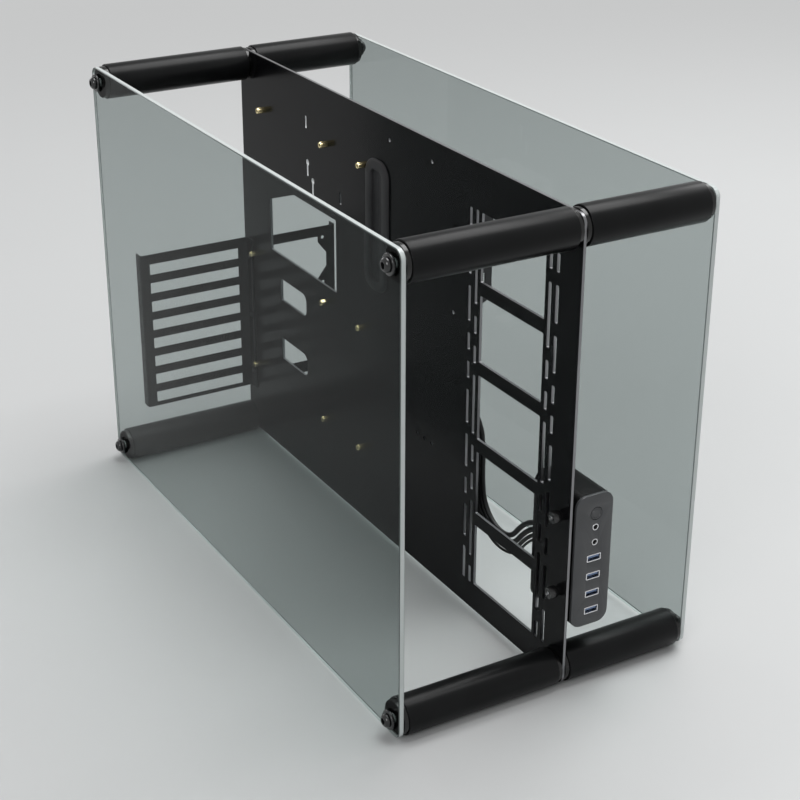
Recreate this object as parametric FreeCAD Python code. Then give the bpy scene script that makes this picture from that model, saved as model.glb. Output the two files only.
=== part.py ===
"""Open-frame desktop computer case: two glass sides and a middle tray, held apart by round tubes.

Millimetres. +X is to the right seen from the front, +Y to the rear, +Z up. The origin is on the floor,
under the middle of the case.
"""
import FreeCAD
import Part
import math
import os

# Sides of the small round pieces that repeat, so that the meshed part stays light
hidden_sides = 6
plug_sides = 12
bore_sides = 16
key_sides = 24

# Plates
plate_height = 414.0
plate_depth = 590.0
plate_corner = 8.5
glass_thickness = 5.0
tray_thickness = 3.0
left_bay = 152.0
right_bay = 121.0

# Tubes, the plugs in their ends and what clamps them
tube_radius = 16.5
tube_wall = 1.5
tube_inset = 13.5
plug_proud = 4.0
plug_depth = 12.0
plug_clearance = 0.1
bolt_radius = 3.0
thread_clearance = 0.05
bolt_hole_clearance = 0.4
bolt_engagement = 11.0
washer_radius = 8.5
washer_thickness = 3.0
head_radius = 5.8
head_height = 4.0

# Fan and radiator ladder in the tray, measured from the plates' front and bottom edges
ladder_from_front = 93.0
ladder_from_bottom = 200.0
ladder_openings = 5
ladder_width = 92.0
ladder_opening_height = 60.0
ladder_bar = 12.0
slot_width = 4.0
small_fan_pitch = 120.0
small_fan_screws = 105.0
small_fan_short_slot = 16.0
small_fan_long_slot = 55.0
small_fan_web = 11.0
large_fan_screws = 124.5
large_fan_short_slot = 15.5
large_fan_long_slot = 31.5
large_fan_web = 10.8
large_fan_order = "SLLSSLLSLL"

# Openings in the tray, as (ahead of the plates' rear edges, up from their bottom edges)
cooler_front = 202.0
cooler_rear = 62.0
cooler_bottom = 219.0
cooler_top = 292.0
cooler_slope_length = 53.0
cooler_slope_drop = 19.5
cable_hole_front = 138.0
cable_hole_length = 56.0
cable_hole_height = 23.4
cable_hole_bottoms = (105.3, 170.4)
cable_hole_nose = 8.0
keyholes = ((143.0, 332.5), (153.3, 316.5))
keyhole_radius = 3.0
keyhole_slot = 3.2
keyhole_drop = 12.0
tie_slots = ((141.0, 371.7), (208.8, 315.4))
tie_slot_width = 3.2
tie_slot_height = 12.0

# Small holes in the tray, as (behind the plates' front edges, up from their bottom edges)
small_holes = ((180.6, 272.6), (218.2, 395.4), (289.8, 395.4), (212.8, 134.0), (225.1, 134.0), (237.4, 134.0))
small_hole_radius = 1.8

# Rubber grommet in the tray
grommet_from_rear = 280.0
grommet_from_bottom = 310.5
grommet_slot_width = 26.0
grommet_slot_height = 110.0
grommet_slot_corner = 9.0
grommet_lip = 7.0
grommet_lip_thickness = 2.5
grommet_wall = 3.0
grommet_fit = 0.1

# Board standoffs: places from the board's rear edge and from its top row
board_rear = 18.5
board_top_row = 361.3
board_columns = (10.16, 165.1, 237.49)
board_top_rear_column = 33.02
board_rows = (0.0, 157.48, 281.94)
standoff_flats = 5.5
standoff_height = 8.0
standoff_bore = 1.25
standoff_bore_depth = 6.0

# Sheet brackets
sheet = 1.5
bend = 1.0
bracket_from_rear = 8.5
bracket_flange = 12.0
bracket_shelf = 10.0
bracket_screw_radius = 1.5
bracket_screw_clearance = 0.2
bracket_screw_head = 3.0
bracket_screw_head_height = 2.0
bracket_screw_heights = (66.0, 131.0, 196.0)

# Expansion-slot bracket, left of the tray
expansion_reach = 121.0
expansion_post = 10.0
expansion_root = 12.0
expansion_bottom = 47.0
expansion_top = 215.5
expansion_count = 8
expansion_pitch = 20.32
expansion_gap = 11.6
expansion_head = 10.4
card_screw_radius = 1.6
card_screw_offset = 5.0

# Power-supply bracket, right of the tray; the supply's face is 86 wide and 150 high
supply_reach = 99.0
supply_bottom = 47.0
supply_top = 212.0
supply_face_offset = 4.0
supply_face_top = 205.6
supply_window = (10.0, 88.5, 60.0, 201.3)
supply_screws = ((80.0, 6.0), (16.0, 6.0), (80.0, 144.0), (6.0, 120.0), (80.0, 57.0))
supply_screw_radius = 1.9
ear_reach = 10.0
ear_margin = 5.5
ear_tip = 5.0
ear_root = 18.0

# Drive bracket, right of the tray
drive_front = 160.0
drive_width = 102.0
drive_bottom = 285.0
drive_top = 392.0
drive_flange = 22.0
drive_corner = 8.0
drive_slot_width = 4.0
drive_slot_length = 14.0
drive_slot_heights = (305.0, 338.0, 371.0)
drive_screw_inset = 20.6
drive_screw_heights = (300.0, 351.5)

# Front panel module, right of the tray
panel_gap = 3.5
panel_width = 36.5
panel_bottom = 52.4
panel_depth = 60.0
panel_corner = 10.0
panel_wall = 2.0
face_thickness = 3.0
face_edge = 0.6
port_from_left = 20.2
panel_foot = 13.6
usb_pitches = (16.1, 16.5, 16.8)
jack_above_usb = 14.6
jack_pitch = 13.9
button_above_jack = 12.6
panel_head = 17.7
usb_shell_width = 13.1
usb_shell_height = 5.7
usb_shell_length = 14.0
usb_shell_wall = 0.4
usb_port_margin = 0.5
usb_setback = 0.4
tongue_width = 10.8
tongue_thickness = 1.9
tongue_length = 8.4
tongue_lift = 0.9
block_clearance = 0.05
jack_radius = 3.0
jack_bore = 1.75
jack_bore_depth = 11.0
jack_body = 8.6
jack_length = 12.0
circuit_thickness = 1.6
circuit_margin = 8.0
circuit_depth = 34.0
rib_width = 3.0
button_radius = 5.4
button_clearance = 0.3
button_collar = 6.6
button_collar_thickness = 1.2
stem_radius = 1.5
button_travel = 1.5
switch_size = 9.0
switch_gap = 2.2
stem_in_switch = 2.0
switch_spare = 1.0
thumb_from_front = 12.0
thumb_above_base = (33.8, 104.0)
thumb_thread = 2.0
thumb_thread_length = 12.0
thumb_head_radius = 5.2
thumb_head_length = 10.0
boss_size = 10.0
boss_depth = 6.0

# Cables behind the tray: routes run from the gland to the plug, as (x, y, z)
gland_thickness = 2.0
gland_width = 9.0
gland_margin = 5.5
usb_cable_diameter = 4.8
audio_cable_diameter = 3.6
switch_cable_diameter = 2.4
usb_route_1 = (
    (39.0, -233.0, 114.0), (39.0, -213.0, 114.0), (39.8, -191.4, 99.0), (40.6, -174.5, 77.9),
    (41.0, -149.8, 75.2), (40.4, -130.6, 91.0), (39.6, -127.6, 116.6), (38.6, -129.6, 143.5),
    (36.6, -128.6, 170.2), (32.0, -110.8, 190.4), (26.4, -83.2, 192.2), (22.6, -62.2, 174.0),
    (21.7, -60.0, 147.2), (21.9, -59.6, 122.2), (25.6, -55.6, 99.0), (31.0, -53.4, 78.0))
usb_route_2 = (
    (39.0, -233.0, 108.0), (39.0, -214.4, 108.0), (40.1, -194.8, 93.2), (41.0, -177.2, 71.6),
    (41.4, -147.9, 69.0), (40.8, -125.4, 87.6), (40.0, -121.8, 116.0), (38.8, -124.2, 143.2),
    (36.8, -123.2, 168.0), (32.2, -108.2, 185.0), (26.6, -85.0, 186.6), (22.7, -67.4, 171.4),
    (21.7, -65.4, 147.1), (21.9, -65.6, 122.0), (25.6, -67.4, 100.6), (31.0, -68.8, 80.6))
audio_route = (
    (39.0, -233.0, 103.2), (39.0, -216.4, 103.2), (39.6, -198.0, 89.4), (40.2, -179.6, 66.4),
    (40.4, -146.5, 63.0), (40.0, -121.0, 84.6), (39.2, -117.2, 116.2), (38.2, -119.6, 143.6),
    (36.0, -118.8, 166.2), (31.4, -106.0, 180.4), (26.0, -86.6, 181.6), (22.0, -71.8, 169.0),
    (21.1, -70.0, 146.9), (21.2, -70.1, 122.4), (22.8, -75.6, 102.0), (25.2, -79.4, 84.0))
switch_route = (
    (39.0, -233.0, 99.4), (39.0, -217.4, 99.4), (39.4, -200.2, 86.2), (39.8, -181.8, 62.6),
    (39.9, -145.4, 58.8), (39.5, -117.6, 82.8), (38.7, -113.4, 115.4), (37.7, -116.0, 143.0),
    (35.4, -115.4, 164.6), (30.8, -104.4, 176.8), (25.4, -87.9, 178.0), (21.4, -75.2, 167.2),
    (20.5, -73.4, 146.8), (20.6, -73.5, 122.8), (21.0, -81.0, 104.0), (21.6, -87.6, 88.0))
usb_header_size = (26.0, 9.5, 18.0)
audio_header_size = (13.0, 5.2, 14.0)
switch_header_size = (5.4, 2.6, 14.0)
cable_sides = 6
arc_share = 0.45
mitred = 1
clip_height = 8.0
clip_base = 2.0
clip_wall = 1.6
clip_clearance = 0.3
clip_foot = 7.0
clip_from_bottom = 134.0

# Places worked out from the sizes above
X = FreeCAD.Vector(1, 0, 0)
Y = FreeCAD.Vector(0, 1, 0)
Z = FreeCAD.Vector(0, 0, 1)
left_outer = -(2 * glass_thickness + left_bay + tray_thickness + right_bay) / 2
left_inner = left_outer + glass_thickness
tray_left = left_inner + left_bay
tray_right = tray_left + tray_thickness
right_inner = tray_right + right_bay
right_outer = right_inner + glass_thickness
front = -plate_depth / 2
rear = front + plate_depth
bottom = tube_radius - tube_inset
top = bottom + plate_height
sheet_front = rear - bracket_from_rear
sheet_rear = sheet_front + sheet
shelf_rear = sheet_rear + bracket_shelf
panel_left = tray_right + panel_gap
panel_right = panel_left + panel_width
panel_base = bottom + panel_bottom
usb_places = [panel_base + panel_foot + sum(usb_pitches[:i]) for i in range(len(usb_pitches) + 1)]
jack_places = [usb_places[-1] + jack_above_usb + i * jack_pitch for i in range(2)]
button_place = jack_places[-1] + button_above_jack
panel_top = button_place + panel_head
port_x = panel_left + port_from_left
circuit_x = port_x + usb_shell_width / 2
corner_axes = [(y, z) for y in (front + tube_inset, rear - tube_inset)
               for z in (bottom + tube_inset, top - tube_inset)]


def point(x, y, z):
    return FreeCAD.Vector(x, y, z)


def block(x0, x1, y0, y1, z0, z1):
    return Part.makeBox(x1 - x0, y1 - y0, z1 - z0, point(x0, y0, z0))


def rod(radius, start, axis, length):
    return Part.makeCylinder(radius, length, start, axis)


def prism(sides, radius, start, axis, length):
    """Bar or hole with a number of sides, whose corners lie on the given radius."""
    across = Z if axis is not Z else X
    up = axis.cross(across)
    turns = [(i + 0.5) * 2 * math.pi / sides for i in range(sides)]
    spots = [start + (across * math.cos(turn) + up * math.sin(turn)) * radius for turn in turns]
    return Part.Face(Part.makePolygon(spots + spots[:1])).extrude(axis * length)


def rectangle(a0, a1, b0, b1, radius=0.0):
    return [(a0, b0, radius), (a1, b0, radius), (a1, b1, radius), (a0, b1, radius)]


def upright_slot(a, b, width, height):
    """Outline of a slot whose ends are chamfered over a quarter of its width."""
    half, side, end = width / 2, height / 2 - width / 4, height / 2
    spots = [(-half, -side), (-half / 2, -end), (half / 2, -end), (half, -side),
             (half, side), (half / 2, end), (-half / 2, end), (-half, side)]
    return [(a + da, b + db, 0) for da, db in spots]


def clipped(a0, a1, b0, b1, radius):
    """Rectangle whose rounded corners have two flats each."""
    near = radius * (1 - math.sqrt(0.5))
    spots = []
    for a, b, da, db in ((a0, b0, 1, 1), (a1, b0, -1, 1), (a1, b1, -1, -1), (a0, b1, 1, -1)):
        corner = [(a, b + db * radius, 0), (a + da * near, b + db * near, 0), (a + da * radius, b, 0)]
        spots += corner if da == db else corner[::-1]
    return spots


def corner_arc(before, here, after, radius):
    """Start, middle and end of the arc that rounds one corner."""
    back = (before - here).normalize()
    ahead = (after - here).normalize()
    half = back.getAngle(ahead) / 2
    inward = (back + ahead).normalize()
    reach = radius / math.tan(half)
    middle = here + inward * (radius / math.sin(half) - radius)
    return here + back * reach, middle, here + ahead * reach


def slab(corners, axis, level, thickness):
    """Plate with a rounded outline of (a, b, radius) corners, square to X, Y or Z."""
    place = {"x": lambda a, b: point(level, a, b),
             "y": lambda a, b: point(a, level, b),
             "z": lambda a, b: point(a, b, level)}[axis]
    spots = [place(a, b) for a, b, _ in corners]
    arcs = []
    for i, (_, _, radius) in enumerate(corners):
        here, after = spots[i], spots[(i + 1) % len(spots)]
        arcs.append(corner_arc(spots[i - 1], here, after, radius) if radius else (here, None, here))
    edges = []
    for i, (start, middle, end) in enumerate(arcs):
        if middle:
            edges.append(Part.Arc(start, middle, end).toShape())
        following = arcs[(i + 1) % len(arcs)][0]
        if (following - end).Length > 1e-6:
            edges.append(Part.LineSegment(end, following).toShape())
    direction = {"x": X, "y": Y, "z": Z}[axis]
    return Part.Face(Part.Wire(edges)).extrude(direction * thickness)


def hexagon(flats, x, y, z, length):
    """Six-sided bar along +X, standing on one corner."""
    radius = flats / math.sqrt(3)
    corners = [(y + radius * math.sin(i * math.pi / 3), z + radius * math.cos(i * math.pi / 3), 0)
               for i in range(6)]
    return slab(corners, "x", x, length)


def save(name, *solids):
    shape = solids[0] if len(solids) == 1 else Part.makeCompound(list(solids))
    shape.exportStep(f"parts/{name}.step")


def glass_panel(x):
    outline = rectangle(front, rear, bottom, top, plate_corner)
    panel = slab(outline, "x", x, glass_thickness)
    for y, z in corner_axes:
        panel = panel.cut(prism(hidden_sides, bolt_radius + bolt_hole_clearance, point(x, y, z), X, glass_thickness))
    return panel


def ladder_cuts():
    """Ladder openings and the slot columns beside them, as outlines."""
    middle_y = front + ladder_from_front
    middle_z = bottom + ladder_from_bottom
    step = ladder_opening_height + ladder_bar
    cuts = []
    for i in range(ladder_openings):
        z = middle_z + (i - (ladder_openings - 1) / 2) * step
        cuts.append(rectangle(middle_y - ladder_width / 2, middle_y + ladder_width / 2,
                              z - ladder_opening_height / 2, z + ladder_opening_height / 2))
    for side in (-1, 1):
        y = middle_y + side * small_fan_screws / 2
        for fan in (-1, 0, 1):
            z = middle_z + fan * small_fan_pitch
            offset = small_fan_long_slot / 2 + small_fan_web + small_fan_short_slot / 2
            cuts.append(upright_slot(y, z, slot_width, small_fan_long_slot))
            cuts.append(upright_slot(y, z + offset, slot_width, small_fan_short_slot))
            cuts.append(upright_slot(y, z - offset, slot_width, small_fan_short_slot))
        cuts += large_fan_column(middle_y + side * large_fan_screws / 2, middle_z)
    return cuts


def large_fan_column(y, middle_z):
    heights = {"S": large_fan_short_slot, "L": large_fan_long_slot}
    lengths = [heights[kind] for kind in large_fan_order]
    z = middle_z + (sum(lengths) + large_fan_web * (len(lengths) - 1)) / 2
    slots = []
    for length in lengths:
        slots.append(upright_slot(y, z - length / 2, slot_width, length))
        z -= length + large_fan_web
    return slots


def cooler_outline():
    y0, y1 = rear - cooler_front, rear - cooler_rear
    z0, z1 = bottom + cooler_bottom, bottom + cooler_top
    spots = [(y0, z0), (y1, z0), (y1, z1 - cooler_slope_drop), (y1 - cooler_slope_length, z1), (y0, z1)]
    return [(y, z, 0) for y, z in spots]


def cable_hole_outline(height):
    y0 = rear - cable_hole_front
    y1 = y0 + cable_hole_length
    z0 = bottom + height
    z1 = z0 + cable_hole_height
    return [(y0, z0, cable_hole_nose), (y1, z0, 0), (y1, z1, 0), (y0, z1, cable_hole_nose)]


def grommet_slot(margin):
    """Outline of the grommet's slot in the tray, grown all round by a margin."""
    y, z = rear - grommet_from_rear, bottom + grommet_from_bottom
    half_width = grommet_slot_width / 2 + margin
    half_height = grommet_slot_height / 2 + margin
    return clipped(y - half_width, y + half_width, z - half_height, z + half_height, grommet_slot_corner + margin)


def standoff_places():
    places = []
    for i, drop in enumerate(board_rows):
        columns = (board_top_rear_column,) + board_columns[1:] if i == 0 else board_columns
        places += [(rear - board_rear - c, bottom + board_top_row - drop) for c in columns]
    return places


def rear_screw_places():
    y = sheet_front - bracket_flange / 2
    return [(y, bottom + height) for height in bracket_screw_heights]


def drive_screw_places():
    middle = front + drive_front + drive_width / 2
    reach = drive_width / 2 - drive_screw_inset
    return [(middle + side * reach, bottom + height) for side in (-1, 1) for height in drive_screw_heights]


def tray():
    outline = rectangle(front, rear, bottom, top, plate_corner)
    plate = slab(outline, "x", tray_left, tray_thickness)
    cuts = ladder_cuts() + [cooler_outline(), grommet_slot(0.0)]
    cuts += [cable_hole_outline(height) for height in cable_hole_bottoms]
    cuts += [upright_slot(rear - y, bottom + z, tie_slot_width, tie_slot_height) for y, z in tie_slots]
    cuts += [upright_slot(rear - y, bottom + z - keyhole_drop / 2, keyhole_slot, keyhole_drop + keyhole_slot)
             for y, z in keyholes]
    tools = [slab(corners, "x", tray_left, tray_thickness) for corners in cuts]
    sheet_hole = bracket_screw_radius + bracket_screw_clearance
    holes = [(y, z, bolt_radius + bolt_hole_clearance) for y, z in corner_axes]
    holes += [(rear - y, bottom + z, keyhole_radius) for y, z in keyholes]
    holes += [(front + y, bottom + z, small_hole_radius) for y, z in small_holes]
    holes += [(y, z, sheet_hole) for y, z in rear_screw_places()]
    holes += [(y, z, bracket_screw_radius + thread_clearance) for y, z in drive_screw_places()]
    holes += [(y, z, thumb_thread + bolt_hole_clearance) for y, z in thumb_places()]
    tools += [prism(hidden_sides, radius, point(tray_left, y, z), X, tray_thickness) for y, z, radius in holes]
    return plate.cut(Part.makeCompound(tools))


def tube(x, length, y, z):
    outer = rod(tube_radius, point(x, y, z), X, length)
    return outer.cut(prism(plug_sides, tube_radius - tube_wall, point(x, y, z), X, length))


def tube_plug(x, y, z):
    """Threaded plug that starts at x and runs along the tube's axis."""
    radius = tube_radius - tube_wall - plug_clearance
    length = plug_proud + plug_depth
    body = prism(plug_sides, radius, point(x, y, z), X, length)
    return body.cut(prism(hidden_sides, bolt_radius + thread_clearance, point(x, y, z), X, length))


def bay_tubes(side, x0, x1):
    tubes = [tube(x0 + plug_proud, x1 - x0 - 2 * plug_proud, y, z) for y, z in corner_axes]
    starts = (x0, x1 - plug_proud - plug_depth)
    save(f"{side}_tubes", *tubes)
    save(f"{side}_tube_plugs", *[tube_plug(x, y, z) for y, z in corner_axes for x in starts])


def tray_studs():
    reach = plug_proud + bolt_engagement
    return [prism(hidden_sides, bolt_radius, point(tray_left - reach, y, z), X, tray_thickness + 2 * reach)
            for y, z in corner_axes]


def glass_washer(seat, outward):
    body = prism(bore_sides, washer_radius, seat, outward, washer_thickness)
    return body.cut(prism(hidden_sides, bolt_radius + bolt_hole_clearance, seat, outward, washer_thickness))


def glass_screw(seat, outward):
    """Screw through washer and glass; seat is on the glass's outer face."""
    head = prism(plug_sides, head_radius, seat + outward * washer_thickness, outward, head_height)
    reach = glass_thickness + plug_proud + bolt_engagement
    shank = prism(hidden_sides, bolt_radius, seat - outward * reach, outward, reach + washer_thickness)
    return head.fuse(shank)


def glass_fixings(side, x, outward):
    seats = [point(x, y, z) for y, z in corner_axes]
    save(f"{side}_glass_washers", *[glass_washer(seat, outward) for seat in seats])
    save(f"{side}_glass_screws", *[glass_screw(seat, outward) for seat in seats])


def standoff(y, z):
    body = hexagon(standoff_flats, tray_left - standoff_height, y, z, standoff_height)
    return body.cut(rod(standoff_bore, point(tray_left - standoff_height, y, z), X, standoff_bore_depth))


def folded_sheet(root, outward, reach, z0, z1):
    """Sheet square to the tray: a flange on it at x = root, and a shelf folded rearward at the far end."""
    inner = root + outward * sheet
    far = root + outward * reach
    far_inner = far - outward * sheet
    start = sheet_front - bracket_flange
    corners = [(root, start, 0), (root, sheet_rear, bend + sheet), (far_inner, sheet_rear, bend),
               (far_inner, shelf_rear, 0), (far, shelf_rear, 0), (far, sheet_front, bend + sheet),
               (inner, sheet_front, bend), (inner, start, 0)]
    body = slab(corners, "z", z0, z1 - z0)
    hole = bracket_screw_radius + bracket_screw_clearance
    for y, z in rear_screw_places():
        body = body.cut(prism(hidden_sides, hole, point(min(root, inner), y, z), X, sheet))
    return body


def expansion_bracket():
    body = folded_sheet(tray_left, -1, expansion_reach, bottom + expansion_bottom, bottom + expansion_top)
    left = tray_left - expansion_reach
    cuts = []
    for i in range(expansion_count):
        z1 = bottom + expansion_top - expansion_head - i * expansion_pitch
        cuts.append(block(left + expansion_post, tray_left - expansion_root, sheet_front, sheet_rear,
                          z1 - expansion_gap, z1))
        screw = point(left, shelf_rear - card_screw_offset, z1 - expansion_gap / 2)
        cuts.append(prism(hidden_sides, card_screw_radius, screw, X, sheet))
    return body.cut(Part.makeCompound(cuts))


def ear(edge, inward, x, z):
    """Screw ear round a hole at x and z, which stands inward from the window's edge."""
    tip = edge + inward * max(ear_reach, abs(x - edge) + ear_margin)
    corners = [(edge, z - ear_root, 0), (tip, z - ear_tip, 0), (tip, z + ear_tip, 0), (edge, z + ear_root, 0)]
    return slab(corners, "y", sheet_front, sheet)


def supply_bracket():
    body = folded_sheet(tray_right, 1, supply_reach, bottom + supply_bottom, bottom + supply_top)
    left, right, low, high = supply_window
    x0, x1 = tray_right + left, tray_right + right
    window = block(x0, x1, sheet_front, sheet_rear, bottom + low, bottom + high)
    holes = []
    for across, down in supply_screws:
        x = tray_right + supply_face_offset + across
        z = bottom + supply_face_top - down
        on_right = x > (x0 + x1) / 2
        edge, inward = (x1, -1) if on_right else (x0, 1)
        window = window.cut(ear(edge, inward, x, z))
        holes.append(rod(supply_screw_radius, point(x, sheet_front, z), Y, sheet))
    return body.cut(window).cut(Part.makeCompound(holes))


def rear_bracket_screw(y, z):
    """Screw through both rear brackets and the tray between them, with its head on the left."""
    head_x = tray_left - sheet - bracket_screw_head_height
    head = prism(plug_sides, bracket_screw_head, point(head_x, y, z), X, bracket_screw_head_height)
    shank = prism(hidden_sides, bracket_screw_radius, point(tray_left - sheet, y, z), X, tray_thickness + 2 * sheet)
    return head.fuse(shank)


def drive_bracket():
    y0 = front + drive_front
    y1 = y0 + drive_width + 2 * sheet
    x1 = tray_right + drive_flange
    z0, z1 = bottom + drive_bottom, bottom + drive_top
    outer = bend + sheet
    inner_x = tray_right + sheet
    corners = [(tray_right, y0, outer), (x1, y0, 0), (x1, y0 + sheet, 0), (inner_x, y0 + sheet, bend),
               (inner_x, y1 - sheet, bend), (x1, y1 - sheet, 0), (x1, y1, 0), (tray_right, y1, outer)]
    body = slab(corners, "z", z0, z1 - z0)
    side = clipped(tray_right - drive_corner, x1, z0, z1, drive_corner)
    body = body.common(slab(side, "y", y0, y1 - y0))
    slot_x = tray_right + drive_flange * 0.6
    for height in drive_slot_heights:
        slot = upright_slot(slot_x, bottom + height, drive_slot_width, drive_slot_length)
        body = body.cut(slab(slot, "y", y0, y1 - y0))
    hole = bracket_screw_radius + bracket_screw_clearance
    for y, z in drive_screw_places():
        body = body.cut(prism(hidden_sides, hole, point(tray_right, y, z), X, sheet))
    return body


def drive_screw(y, z):
    head_x = tray_right + sheet
    head = prism(plug_sides, bracket_screw_head, point(head_x, y, z), X, bracket_screw_head_height)
    shank = prism(hidden_sides, bracket_screw_radius, point(tray_left, y, z), X, tray_thickness + sheet)
    return head.fuse(shank)


def grommet():
    lip = grommet_slot(grommet_lip)
    body = slab(lip, "x", tray_left - grommet_lip_thickness, grommet_lip_thickness)
    body = body.fuse(slab(lip, "x", tray_right, grommet_lip_thickness))
    body = body.fuse(slab(grommet_slot(-grommet_fit), "x", tray_left, tray_thickness))
    opening = slab(grommet_slot(-grommet_wall), "x", tray_left - grommet_lip_thickness,
                   tray_thickness + 2 * grommet_lip_thickness)
    return body.cut(opening).removeSplitter()


def panel_outline(margin):
    return rectangle(panel_left + margin, panel_right - margin, panel_base + margin,
                     panel_top - margin, panel_corner - margin)


def faceplate():
    plate = slab(panel_outline(0.0), "y", front, face_thickness)
    rim = [e for e in plate.Edges if e.BoundBox.YLength < 1e-6 and abs(e.BoundBox.YMin - front) < 1e-6]
    plate = plate.makeChamfer(face_edge, rim)
    half_width = usb_shell_width / 2 + usb_port_margin
    half_height = usb_shell_height / 2 + usb_port_margin
    for z in usb_places:
        port = rectangle(port_x - half_width, port_x + half_width, z - half_height, z + half_height)
        plate = plate.cut(slab(port, "y", front, face_thickness))
    for z in jack_places:
        hole = prism(key_sides, jack_radius + usb_port_margin / 2, point(port_x, front, z), Y, face_thickness)
        plate = plate.cut(hole)
    return plate.cut(prism(key_sides, button_radius + button_clearance, button_seat(), Y, face_thickness))


def button_seat():
    return point(port_x, front, button_place)


def thumb_places():
    return [(front + thumb_from_front, panel_base + height) for height in thumb_above_base]


def circuit_span():
    return panel_base + circuit_margin, panel_top - circuit_margin


def panel_housing():
    """Box behind the faceplate, with bosses that stand on the tray and ribs for the circuit board."""
    y0, y1 = front + face_thickness, front + panel_depth
    shell = slab(panel_outline(0.0), "y", y0, y1 - y0)
    shell = shell.cut(slab(panel_outline(panel_wall), "y", y0, y1 - y0 - panel_wall))
    boss_end = panel_left + panel_wall + boss_depth
    half = boss_size / 2
    for y, z in thumb_places():
        shell = shell.fuse(block(tray_right, boss_end, max(y - half, y0), y + half, z - half, z + half))
        thread = prism(hidden_sides, thumb_thread + thread_clearance, point(tray_right, y, z), X, boss_end - tray_right)
        shell = shell.cut(thread)
    low, high = circuit_span()
    for z in (low, high - rib_width):
        shell = shell.fuse(block(circuit_x + circuit_thickness, panel_right - panel_wall,
                                 y0 + circuit_margin, y0 + circuit_depth, z, z + rib_width))
    return shell.cut(slab(gland_outline(0.0), "y", y1 - panel_wall, panel_wall)).removeSplitter()


def gland_outline(margin):
    """Upright slot in the housing's rear wall that the cables leave through."""
    exits = [route[0] for route, _ in cable_routes()]
    low = min(z for _, _, z in exits) - gland_margin - margin
    high = max(z for _, _, z in exits) + gland_margin + margin
    return upright_slot(exits[0][0], (low + high) / 2, gland_width + 2 * margin, high - low)


def cable_gland():
    y1 = front + panel_depth
    lip = slab(gland_outline(gland_thickness), "y", y1, gland_thickness)
    neck = slab(gland_outline(-grommet_fit), "y", y1 - panel_wall, panel_wall)
    return lip.fuse(neck)


def circuit_board():
    low, high = circuit_span()
    y0 = front + face_thickness + circuit_margin / 2
    return block(circuit_x, circuit_x + circuit_thickness, y0, front + face_thickness + circuit_depth, low, high)


def usb_shell(z):
    half_width, half_height = usb_shell_width / 2, usb_shell_height / 2
    y0 = front + usb_setback
    y1 = y0 + usb_shell_length
    outer = block(port_x - half_width, port_x + half_width, y0, y1, z - half_height, z + half_height)
    wall = usb_shell_wall
    return outer.cut(block(port_x - half_width + wall, port_x + half_width - wall, y0, y1,
                           z - half_height + wall, z + half_height - wall))


def usb_tongue(z):
    """Insulator block at the back of a port, with the contact tongue that stands from it."""
    half_width = usb_shell_width / 2 - usb_shell_wall - block_clearance
    half_height = usb_shell_height / 2 - usb_shell_wall - block_clearance
    y1 = front + usb_setback + usb_shell_length
    y0 = y1 - (usb_shell_length - tongue_length) + 2 * usb_setback
    base = block(port_x - half_width, port_x + half_width, y0, y1, z - half_height, z + half_height)
    low = z + tongue_lift - tongue_thickness / 2
    tongue = block(port_x - tongue_width / 2, port_x + tongue_width / 2, y0 - tongue_length, y0,
                   low, low + tongue_thickness)
    return base.fuse(tongue)


def audio_jack(z):
    y0 = front + usb_setback
    half = jack_body / 2
    body_front = front + face_thickness
    body = block(port_x - half, circuit_x, body_front, body_front + jack_length, z - half, z + half)
    collar = prism(key_sides, jack_radius, point(port_x, y0, z), Y, body_front - y0)
    return body.fuse(collar).cut(prism(bore_sides, jack_bore, point(port_x, y0, z), Y, jack_bore_depth))


def switch_face():
    return front + face_thickness + button_clearance + button_collar_thickness + switch_gap


def power_button():
    """Flush key with a retaining collar behind the faceplate and a stem that enters the switch."""
    seat = button_seat()
    collar_front = face_thickness + button_clearance
    cap = prism(key_sides, button_radius, seat, Y, collar_front)
    collar = prism(key_sides, button_collar, seat + Y * collar_front, Y, button_collar_thickness)
    stem_start = collar_front + button_collar_thickness
    stem_end = switch_face() - front + stem_in_switch
    stem = prism(plug_sides, stem_radius, seat + Y * stem_start, Y, stem_end - stem_start)
    return cap.fuse(collar).fuse(stem)


def power_switch():
    z = button_place
    half = switch_size / 2
    y0 = switch_face()
    body = block(port_x - half, circuit_x, y0, y0 + switch_size, z - half, z + half)
    depth = stem_in_switch + button_travel + switch_spare
    return body.cut(prism(plug_sides, stem_radius + button_clearance, point(port_x, y0, z), Y, depth))


def thumbscrew(y, z):
    head = prism(key_sides, thumb_head_radius, point(tray_left - thumb_head_length, y, z), X, thumb_head_length)
    thread = prism(hidden_sides, thumb_thread, point(tray_left, y, z), X, thumb_thread_length)
    return head.fuse(thread)


def cable_routes():
    return ((usb_route_1, usb_cable_diameter), (usb_route_2, usb_cable_diameter),
            (audio_route, audio_cable_diameter), (switch_route, switch_cable_diameter))


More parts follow.
